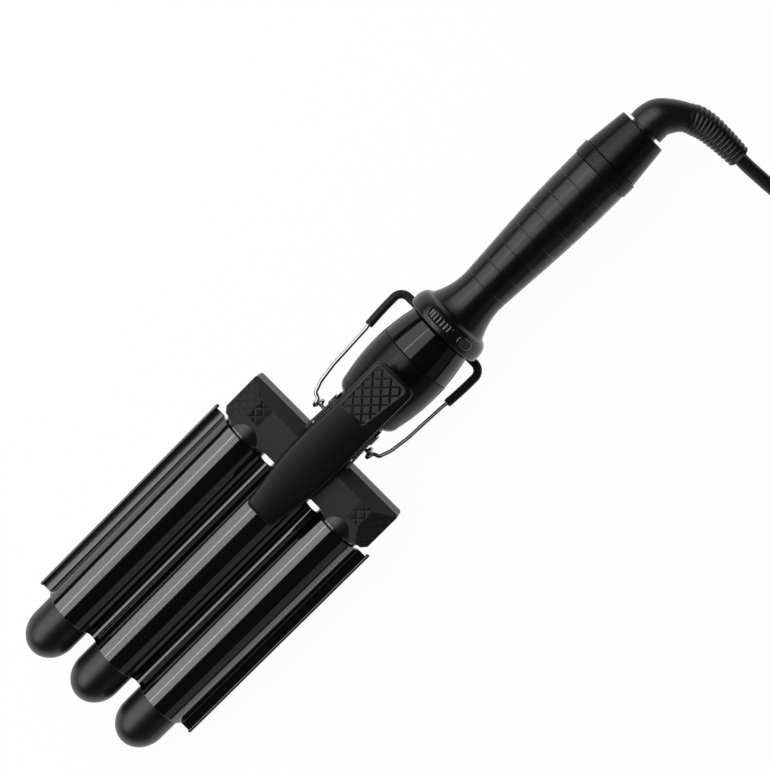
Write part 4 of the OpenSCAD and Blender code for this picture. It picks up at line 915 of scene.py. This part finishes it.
# Each pair: distance along the leg, then outwards from the curls or inwards from the full width.
STEP_OUT = [(0.9, 0.5), (1.5, 1.6), (1.9, 2.7), (2.8, 3.6), (4.4, 4.1)]
LEG_IN = [(8, 3.75), (12, 3.15), (15.8, 2.6), (18.3, 2.3), (23, 2.07), (30, 1.73), (36, 1.44), (41, 1.2)]
SLEEVE_IN = [(43.5, 0.8), (49, 0.4), (55.5, 0.1)]
EYE_POINTS = 32
curls = [
    eye_point(2 * math.pi * i / EYE_POINTS, EYE_Y + EYE_PITCH * (EYE_POINTS - i) / EYE_POINTS)
    for i in range(EYE_POINTS, -1, -1)
]
leg = [leg_point(a, LEG_Y + y) for a, y in STEP_OUT]
leg += [leg_point(a, STAND_HALF - y) for a, y in LEG_IN]
sleeved = [leg_point(a, STAND_HALF - y) for a, y in SLEEVE_IN]
corner = [
    leg_point(STAND_LEG - CORNER_R * (1 - s), STAND_HALF - CORNER_R * (1 - c)) for c, s in quarter(12)
]
wire_side = curls + smooth_path([curls[-1]] + leg + sleeved + corner[:1], 5)[1:] + corner[1:]
sleeve_side = smooth_path(sleeved + corner[:1], 5) + corner[1:]
off_middle = Vector((0, STAND_OFF, 0))
print("stand falls by", round(math.degrees(STAND_FALL), 2), "degrees")

# %% Stand wire and sleeve
wire_path = [p + off_middle for p in wire_side + mirrored(wire_side)]
wire = swept("stand_bent_wire", wire_path, [WIRE_R] * len(wire_path), 20, Vector((0, 1, 0)))
finish_of(wire, "bright_steel", "stand_wire", body="stand")
sleeve_path = [p + off_middle for p in sleeve_side + mirrored(sleeve_side)]
sleeve_radii = [SLEEVE_R] * len(sleeve_path)
sleeve_radii[0] = sleeve_radii[-1] = SLEEVE_R - 0.25
sleeve = swept("stand_rubber_sleeve", sleeve_path, sleeve_radii, 28, Vector((0, 1, 0)))
finish_of(sleeve, "sleeve_rubber", "stand_sleeve", body="stand")

# %% Lever spring
SPRING_R, SPRING_WIRE, SPRING_PITCH, SPRING_TURNS = 3.6, 0.6, 1.8, 5
SPIGOT_X, NECK_TOP = 21.2, 4.0


def spring_y(i):
    """Place across the tool after i eighths of a turn."""
    return SPRING_PITCH * (i / 8 - SPRING_TURNS / 2 - 0.25)


def spring_curl(i):
    """A point of the spring's curls after i eighths of a turn."""
    a = math.radians(45 * i)
    return Vector((PIVOT_X - SPRING_R * math.sin(a), spring_y(i), PIVOT_Z + SPRING_R * math.cos(a)))


spring_last = 8 * SPRING_TURNS + 4
spring_top = lever_z(PIVOT_X + 9.4) - SLOPE_SKIN - SPRING_WIRE - 0.08
spring_path = [
    Vector((PIVOT_X + 9.4, spring_y(0), spring_top)),
    Vector((PIVOT_X + 1, spring_y(0), PIVOT_Z + SPRING_R + 0.3)),
]
spring_path += [spring_curl(i / 3) for i in range(3 * spring_last + 1)]
spring_path += [
    Vector((PIVOT_X + x, spring_y(spring_last + x), PIVOT_Z - SPRING_R - z))
    for x, z in ((1, 0.4), (1.9, 1.9), (2.7, 2.75))
]
spring_path.append(Vector((SPIGOT_X - 0.2, spring_y(spring_last + 4), NECK_TOP + SPRING_WIRE + 0.02)))
spring_radii = [SPRING_WIRE] * len(spring_path)
spring = swept("lever_torsion_spring", spring_path, spring_radii, 12, Vector((0, 1, 0)), 60)
finish_of(spring, "spring_steel", "lever_spring", body="base")
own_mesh(spring)
print("spring points:", len(spring_path))

# %% [markdown]
# ## Round body, handle and controls
#
# These are turned shells. Each is a closed profile with its real wall, so the seams between
# them are true gaps. The handle is turned once, cut for the wheel and the button, and then
# parted into an upper and a lower half.

# %% Round body
SHELL, BORE_R, NOSE_ROUND = 2.2, 9.05, 6.0


def body_front():
    """The front shell with its rounded nose."""
    edge = round_r(NOSE_X + NOSE_ROUND) - NOSE_ROUND
    profile = [(NOSE_X, BORE_R)]
    profile += [(NOSE_X + NOSE_ROUND * (1 - c), edge + NOSE_ROUND * s) for c, s in quarter(15)[:-1]]
    profile += [(x, round_r(x)) for x in steps_between(NOSE_X + NOSE_ROUND, SEAM_X - 0.35, 30)]
    seam = ((0.1, 0.12), (0, 0.4), (0, SHELL))
    profile += [(SEAM_X - inset, round_r(SEAM_X) - drop) for inset, drop in seam]
    profile += [(x, round_r(x) - SHELL) for x in steps_between(SEAM_X - 1, NOSE_X + 6, 12)]
    inner = NOSE_X + SHELL + 1
    profile += [(inner, round_r(NOSE_X + 4) - SHELL - 1.5), (inner, BORE_R)]
    return turned("body_front_shell", profile, 160, closed=True)


def body_rear():
    """The rear shell: a lip inside the front one, and a spigot into the handle."""
    seam = ((0.1, 0.55), (0.18, 0.3), (0.45, 0.12))
    profile = [(SEAM_X + inset, round_r(SEAM_X) - drop) for inset, drop in seam]
    profile += [(x, round_r(x) - 0.1) for x in steps_between(SEAM_X + 0.8, BODY_X - 1, 20)]
    edge = round_r(BODY_X - 1) - 1.1
    profile += [(BODY_X - 1 + s, edge + c) for c, s in quarter(6)[1:]]
    profile += [(BODY_X, 9.0), (RING_X + 1.5, 9.0), (RING_X + 1.5, 6.0), (BODY_X - SHELL, 6.0)]
    lip_x, lip_r = SEAM_X - 4, round_r(SEAM_X - 4)
    profile += [(BODY_X - SHELL, round_r(BODY_X) - 2 * SHELL), (lip_x, lip_r - 2 * SHELL)]
    profile += [(lip_x, lip_r - SHELL - 0.05), (SEAM_X + 0.1, round_r(SEAM_X) - SHELL - 0.05)]
    return turned("body_rear_shell", profile, 160, closed=True)


finish_of(body_front(), "body_satin", "body_front", body="base")
finish_of(body_rear(), "body_gloss", "body_rear", body="base")
print("round body: 2 shells")

# %% Handle profile
RING_R, SHOULDER_LEN, SHOULDER_H, FLARE_LEN = 20.7, 6.5, 4.1, 17.0
WAIST_R, GRIP_R, GRIP_POWER, DEGREES_PER_MM = 12.0, 15.1, 1.2, 1.35
GROOVES, GROOVE_PITCH, GROOVE_X = 7, 10.6, WAIST_X + 3
RIB_W, RIB_DEEP, TAIL_R, RING_EDGE = 0.42, 0.2, 12.2, 0.9


def handle_r(x):
    """Radius of the handle: the ring's rounded shoulder, the flare, then the grip."""
    if x < FLARE_X:
        share = max(0.0, x - SHOULDER_X) / SHOULDER_LEN
        return RING_R - SHOULDER_H + SHOULDER_H * math.sqrt(max(0.0, 1 - share**2))
    if x < WAIST_X:
        return WAIST_R + (RING_R - SHOULDER_H - WAIST_R) * ((WAIST_X - x) / FLARE_LEN) ** 2
    turn = math.radians(min(90.0, DEGREES_PER_MM * (x - WAIST_X)))
    return WAIST_R + (GRIP_R - WAIST_R) * math.sin(turn) ** GRIP_POWER


def grip_groove(x):
    """Depth of the ring grooves at x, with rounded lips."""
    deep = 0.0
    for i in range(GROOVES):
        off = abs(x - GROOVE_X - i * GROOVE_PITCH) / RIB_W
        if off < 1:
            deep = RIB_DEEP * (0.5 + 0.5 * math.cos(math.pi * off))
    return deep


def handle_profile():
    """The handle's closed profile, outside first."""
    outside = [(RING_X + RING_EDGE * (1 - c), RING_R - RING_EDGE * (1 - s)) for c, s in quarter(6)]
    shoulder = [SHOULDER_X + SHOULDER_LEN * s for c, s in quarter(18)[:-2]]
    outside += [(x, handle_r(x)) for x in shoulder]
    outside += [(x, handle_r(x)) for x in steps_between(FLARE_X, WAIST_X, 24)[1:]]
    grip = steps_between(WAIST_X + 0.4, BAND_X - 0.3, 90)
    for i in range(GROOVES):
        middle = GROOVE_X + i * GROOVE_PITCH
        grip += steps_between(middle - RIB_W, middle + RIB_W, 8)
    outside += [(x, handle_r(x) - grip_groove(x)) for x in sorted(grip)]
    outside += [(BAND_X, handle_r(BAND_X) - 0.3), (BAND_X, TAIL_R)]
    outside += [(END_X + 6, TAIL_R), (END_X + 6, TAIL_R - 1.9)]
    inside = [(BAND_X - 3, TAIL_R - 1.9), (BAND_X - 3, handle_r(BAND_X - 3) - SHELL)]
    stations = steps_between(BAND_X - 4, FLARE_X + 1, 30)
    stations += [FLARE_X - 1, SHOULDER_X + 4, SHOULDER_X + 2, RING_X + 1.6]
    inside += [(x, handle_r(x) - SHELL) for x in stations]
    return outside + inside + [(RING_X + 1.6, BORE_R), (RING_X, BORE_R)]


print("handle profile points:", len(handle_profile()))

# %% Cutters and cuts
DIAL_TURN, BUTTON_TURN = math.radians(12.5), math.radians(-34)
CONTROL_X = SHOULDER_X + 1.6
DIAL_R, DIAL_W, DIAL_GAP, WINDOW_ROUND = 10.0, 4.4, 0.2, 1.2
DIAL_OUT = handle_r(CONTROL_X) + 0.7 - DIAL_R
BUTTON_TOP = handle_r(CONTROL_X) + 0.5
BUTTON_R, BUTTON_RUN, BUTTON_GAP = 2.6, 1.9, 0.2


def on_ring(turn, x, y, z):
    """A point given upright on the control ring, turned about the tool's axis towards the left."""
    return (x, y * math.cos(turn) + z * math.sin(turn), z * math.cos(turn) - y * math.sin(turn))


def ring_loft(name, turn, rings, sharp=35.0):
    """A skin over rings given upright on the control ring."""
    return skinned(name, [[on_ring(turn, *p) for p in ring] for ring in rings], sharp=sharp)


def wheel_rings(profile, sides, bumps=None):
    """Rings of a wheel on the dial's axle from [x, radius] pairs."""
    rings = []
    for x, r in profile:
        ring = []
        for j in range(sides):
            a = 2 * math.pi * j / sides
            reach = r + (bumps(a, x) if bumps else 0.0)
            ring.append((x, reach * math.sin(a), DIAL_OUT + reach * math.cos(a)))
        rings.append(ring)
    return rings


def oval_ring(grow, z):
    """The button's long oval at a height, in the ring's upright frame."""
    r = BUTTON_R + grow
    ring = []
    for c, s in circle(48):
        y = r * c + math.copysign(BUTTON_RUN, c)
        ring.append((CONTROL_X + r * s, y, z - y * y / (2 * BUTTON_TOP)))
    return ring


def cut(piece, *cutters):
    """Takes the cutters out of the piece for good, and deletes them."""
    for cutter in cutters:
        step = piece.modifiers.new("cut", "BOOLEAN")
        step.object, step.operation, step.solver = cutter, "DIFFERENCE", "EXACT"
    made = bpy.data.meshes.new_from_object(piece.evaluated_get(bpy.context.evaluated_depsgraph_get()))
    piece.modifiers.clear()
    piece.data = made
    for cutter in cutters:
        bpy.data.objects.remove(cutter)
    return piece


def window_cutter():
    """A drum with rounded rims, which leaves a window with rounded ends over the wheel."""
    half, r = DIAL_W / 2 + DIAL_GAP, DIAL_R + 0.7
    rim = [(half - WINDOW_ROUND * (1 - c), r - WINDOW_ROUND * (1 - s)) for c, s in quarter(6)]
    profile = [(CONTROL_X - x, y) for x, y in [(half, 0.05)] + rim]
    profile += [(CONTROL_X + x, y) for x, y in rim[::-1] + [(half, 0.05)]]
    return ring_loft("window_cutter", DIAL_TURN, wheel_rings(profile, 96))


def button_cutter():
    """The button's hole with a little clearance."""
    hole = [oval_ring(BUTTON_GAP, BUTTON_TOP + z) for z in (-8, 4)]
    return ring_loft("button_cutter", BUTTON_TURN, hole)


# %% Handle halves
def handle_half(name, whole, over):
    """One half of the handle, with its parting face closed."""
    half = placed(name, whole.data.copy())
    grown = bmesh.new()
    grown.from_mesh(half.data)
    up = (LAID.to_3x3() @ Vector((0, 0, 1))).normalized()
    faces = grown.verts[:] + grown.edges[:] + grown.faces[:]
    cutline = bmesh.ops.bisect_plane(
        grown, geom=faces, plane_co=laid(0, 0, 0.05 * over), plane_no=up * over, clear_inner=True
    )
    rim = [e for e in cutline["geom_cut"] if isinstance(e, bmesh.types.BMEdge)]
    bmesh.ops.triangle_fill(grown, edges=rim, use_beauty=True)
    grown.to_mesh(half.data)
    grown.free()
    smooth(half.data, 35)
    return half


whole = turned("handle_whole", handle_profile(), 144, closed=True)
whole = cut(whole, window_cutter(), button_cutter())
finish_of(handle_half("handle_upper_shell", whole, 1), "grip_soft", "handle_upper", body="base")
finish_of(handle_half("handle_lower_shell", whole, -1), "grip_soft", "handle_lower", body="base")
bpy.data.objects.remove(whole)
print("handle cut and parted")

# %% Temperature wheel
RIDGES = 26


def ridge(a, x):
    """Height of the wheel's ridges round its edge, less near its sides."""
    side = min(1.0, (DIAL_W / 2 - abs(x - CONTROL_X)) / 0.5)
    return 0.7 * side * abs(math.cos(RIDGES / 2 * a)) ** 0.8


half = DIAL_W / 2
wheel_side = [(half, 2.0), (half, DIAL_R - 1.2), (half - 0.1, DIAL_R - 0.85)]
wheel_profile = [(CONTROL_X - x, r) for x, r in wheel_side]
wheel_profile += [(CONTROL_X + x, DIAL_R - 0.7) for x in (-1.9, -1.6, -0.8, 0.0, 0.8, 1.6, 1.9)]
wheel_profile += [(CONTROL_X + x, r) for x, r in reversed(wheel_side)]
wheel = ring_loft("temperature_wheel", DIAL_TURN, wheel_rings(wheel_profile, RIDGES * 12, ridge), 50)
finish_of(wheel, "control_gloss", "temperature_dial", body="dial")
shaft_end = CONTROL_X + half + 0.8 + 2.4
shaft_profile = [(RING_X + 0.8, 1.3), (RING_X + 1.0, 1.5), (shaft_end - 0.2, 1.5), (shaft_end, 1.3)]
shaft = ring_loft("temperature_shaft", DIAL_TURN, wheel_rings(shaft_profile, 32))
finish_of(shaft, "control_gloss", "temperature_dial", body="dial")

# %% Power button
# Rings of the key: how far in from its outline, and how far from its top.
crown = [
    (0.0, -1.9), (0.0, -0.55), (-0.08, -0.3), (-0.25, -0.12),
    (-0.55, -0.02), (-1.1, 0.0), (-1.9, -0.04), (-2.5, -0.05),
]
button = ring_loft("power_key", BUTTON_TURN, [oval_ring(grow, BUTTON_TOP + z) for grow, z in crown])
finish_of(button, "control_gloss", "power_button", body="button")
print("wheel and button ready")

# %% Rear band and end cap
BAND_R, END_R0, END_R1, SWIVEL_R = 15.7, 14.9, 12.8, 7.07


def round_corner(x, r, size, lead_in):
    """A small round between a face and a turned side; lead_in is 1 for the front face."""
    points = [(x + lead_in * size * (1 - c), r - size * (1 - s)) for c, s in quarter(5)]
    return points if lead_in > 0 else points[::-1]


band = [(BAND_X + 0.1, TAIL_R + 0.05)] + round_corner(BAND_X + 0.1, BAND_R, 0.5, 1)
band += round_corner(END_X, BAND_R, 0.5, -1) + [(END_X, TAIL_R + 0.05)]
finish_of(turned("rear_ring", band, 144, closed=True), "band_plastic", "rear_band", body="base")
cap = [(END_X + 0.1, TAIL_R + 0.05)]
cap += round_corner(END_X + 0.1, END_R0, 0.4, 1)
cap += round_corner(CORD_X, END_R1, 0.9, -1) + [(CORD_X, SWIVEL_R), (CORD_X - 6.8, SWIVEL_R)]
cap += [(CORD_X - 6.8, TAIL_R - 1.6), (END_X + 6.2, TAIL_R - 1.6), (END_X + 6.2, TAIL_R + 0.05)]
finish_of(turned("cord_end_cap", cap, 144, closed=True), "band_plastic", "end_cap", body="base")
print("band and end cap ready")

# %% [markdown]
# ## Strain relief and plug
#
# The relief is one soft moulding on the cord: a round swivel head that turns in the end cap,
# a bend, and a tapering tail with ribs that lets the cord flex. The plug is a flat grip with
# two round pins. The cord, the relief and the plug ride on the swivel together.

# %% Strain relief
RELIEF_STEPS, RIBS_FROM, RIBS_GROW = 24, 13.0, 2.0
RIB_HIGH, RIB_VALLEY, RIB_POWER = 0.95, 0.5, 1.5
relief_path = smooth_path([drooped(*p) for p in RELIEF_LINE], RELIEF_STEPS)
relief_base = smooth_path([Vector((r, 0, 0)) for r in RELIEF_RADII], RELIEF_STEPS)


def rib(i):
    """What the ribs add to the relief's radius at a step of its path."""
    t = 3 * i / RELIEF_STEPS
    if t < RIBS_FROM:
        return 0.0
    wave = 0.5 + 0.5 * math.cos(2 * math.pi * t)
    return (RIB_HIGH - RIB_VALLEY * wave**RIB_POWER) * min(1.0, (t - RIBS_FROM) / RIBS_GROW)


relief_radii = [base.x + rib(i) for i, base in enumerate(relief_base)]
relief_radii[0] -= 0.5
relief = swept("relief_sleeve", relief_path, relief_radii, 40, sharp=60)
finish_of(relief, "relief_rubber", "strain_relief", body="cord")
swivel = [(CORD_X - 10, 3.0), (CORD_X - 10, SWIVEL_R + 2.6), (CORD_X - 9.8, SWIVEL_R + 2.75)]
swivel += [(CORD_X - 7, SWIVEL_R + 2.75), (CORD_X - 7, 7.0), (RELIEF_X + 0.5, 7.0), (RELIEF_X + 0.5, 3.0)]
finish_of(turned("relief_swivel", swivel, 96, closed=True), "relief_rubber", "strain_relief", body="cord")
print("relief points:", len(relief_path))

# %% Plug
PLUG_POWER = 3.4


def plug_ring(y, half_w, half_h):
    """A rounded rectangle across the plug, in millimetres on the table."""
    ring = []
    for c, s in circle(56):
        x = half_w * math.copysign(abs(c) ** (2 / PLUG_POWER), c)
        z = half_h * math.copysign(abs(s) ** (2 / PLUG_POWER), s)
        ring.append((plug_at.x + x, plug_at.y + y, plug_at.z + z))
    return ring


# Rings of the plug: distance from the cord, half width, half height.
plug_stations = [
    (0.0, 4.6, 4.6), (0.4, 5.4, 5.3), (1.4, 5.9, 5.8), (4, 6.2, 6.2), (7, 6.9, 6.6), (12, 9.0, 6.75),
    (18, 11.6, 6.8), (24, 14.2, 6.8), (28, 15.8, 6.8), (30.5, 16.6, 6.75), (32.4, 16.7, 6.6),
    (33.5, 16.3, 6.3), (34.0, 15.6, 5.8),
]
plug = skinned("plug_grip", [plug_ring(*station) for station in plug_stations], sharp=50, at=table)
finish_of(plug, "plug_plastic", "plug_body", body="cord")

# %% The cord's finish, in place of the CAD cord
finish_of(cord, "cord_jacket", "cord_lead", "cord_coil", "cord_tail", body="cord")

# %% [markdown]
# ## The block's quilted ends
#
# The block's upper half keeps its CAD mesh, but both its ends are quilted with crossing
# grooves. A bump alone would be lost in the exported mesh, so each end gets a thin closed skin
# just over the plain face, drawn as rings across the block, whose quilt fades out on the top.
# The skin's finish is darker than the block's own: painted shade on the ends and the top's outer strip.

# %% Quilt on the block's ends
BLOCK_W, BLOCK_TOP_W, BLOCK_TOP, BLOCK_LEN, BLOCK_BACK = 95.4, 74.6, 14.4, 24.3, -0.9
FRONT_SLOPE, FRONT_DROP, REAR_SLOPE, REAR_DROP, END_DROP, CORNER_CUT = 7.2, 3.0, 5.6, 7.4, 6.4, 2.4
QUILT_STEP, QUILT_GROOVE, QUILT_DEEP, QUILT_LIFT, QUILT_UNDER = 4.1, 0.8, 0.5, 0.02, 0.25
QUILT_FADE, QUILT_GROW, QUILT_EDGE, QUILT_INSET = 7.5, 7.0, 0.5, 0.15
QUILT_ROWS, QUILT_COLUMNS = 120, 130


def block_edges(z):
    """Front and rear x of the block at height z on its slopes."""
    front = -BLOCK_LEN + FRONT_SLOPE * max(0.0, z - BLOCK_TOP + FRONT_DROP) / FRONT_DROP
    return front, BLOCK_BACK - REAR_SLOPE * max(0.0, z - BLOCK_TOP + REAR_DROP) / REAR_DROP


def quilt_height(u, v, inside, share):
    """Height of the quilted face: soft diamonds that end in a rounded edge, faded by the share."""
    deep = crossed_grooves(u, v, math.pi / 4, QUILT_STEP, QUILT_GROOVE, 1.2)
    edge = min(1.0, max(0.0, inside) / QUILT_EDGE)
    return QUILT_LIFT + share * QUILT_DEEP * edge * (1 - deep)


def quilt_panel(name, side):
    """A thin quilted skin over one end facet and the outer strip of the top, from rings across it; its
    finish is darker than the block's, as painted shade.
    """
    half, top = BLOCK_W / 2, BLOCK_TOP_W / 2
    slope = math.hypot(half - top, END_DROP)
    rings = []
    for v in steps_between(-QUILT_FADE, slope, QUILT_ROWS):
        down = max(0.0, v) / slope
        y, z = top + (v if v < 0 else down * (half - top)), BLOCK_TOP - down * END_DROP
        front, rear = block_edges(z)
        front = max(front, -BLOCK_LEN + CORNER_CUT - (half - y)) + QUILT_INSET
        rear -= QUILT_INSET
        out = Vector((0, side * END_DROP, half - top)) / slope if v > 0 else Vector((0, 0, 1))
        share = min(1.0, (v + QUILT_FADE) / QUILT_GROW)
        ring = [Vector((front, side * y, z)) - QUILT_UNDER * out]
        for x in steps_between(front, rear, QUILT_COLUMNS):
            inside = min(x - front, rear - x, slope - v - QUILT_INSET)
            ring.append(Vector((x, side * y, z)) + quilt_height(x, v, inside, share) * out)
        rings.append(ring + [Vector((rear, side * y, z)) - QUILT_UNDER * out])
    return skinned(name, rings, sharp=60)


for side, name in ((1, "quilt_left"), (-1, "quilt_right")):
    # The quilt skins take a darker finish than the block: painted shade on its ends.
    finish_of(quilt_panel(name, side), "block_plastic", body="base", finish="quilt_painted_shade")
print("quilted ends: 2")

# %% [markdown]
# ## What stays from the frame
#
# The block, neck, bracket, pins, barrels and inner parts keep their CAD meshes: their shapes
# are right already. They get the same finishes, and a bevel modifier breaks the sharp edges of
# the moulded and stamped ones so that they catch the light.

# %% Finishes for the frame's own nodes
SLOT_OF = {part["node"]: part["material_slot"] for part in frame["record"]["subparts"]}
BEVELLED = {
    "block_upper": 0.5, "block_lower": 0.5, "neck": 0.4,
    "pivot_bracket": 0.25, "pivot_pin": 0.12, "stand_pins": 0.12,
}
kept = 0
for name, node in frame["nodes"].items():
    node.data.materials.clear()
    node.data.materials.append(FINISH[SLOT_OF[name]])
    kept += 0 if node.hide_render else 1
    if name in BEVELLED:
        bevel = node.modifiers.new("soft_edge", "BEVEL")
        bevel.width = BEVELLED[name] / 1000
        bevel.segments = 3
        bevel.limit_method = "ANGLE"
        bevel.angle_limit = math.radians(30)
        bevel.harden_normals = True
print("nodes still showing:", kept)
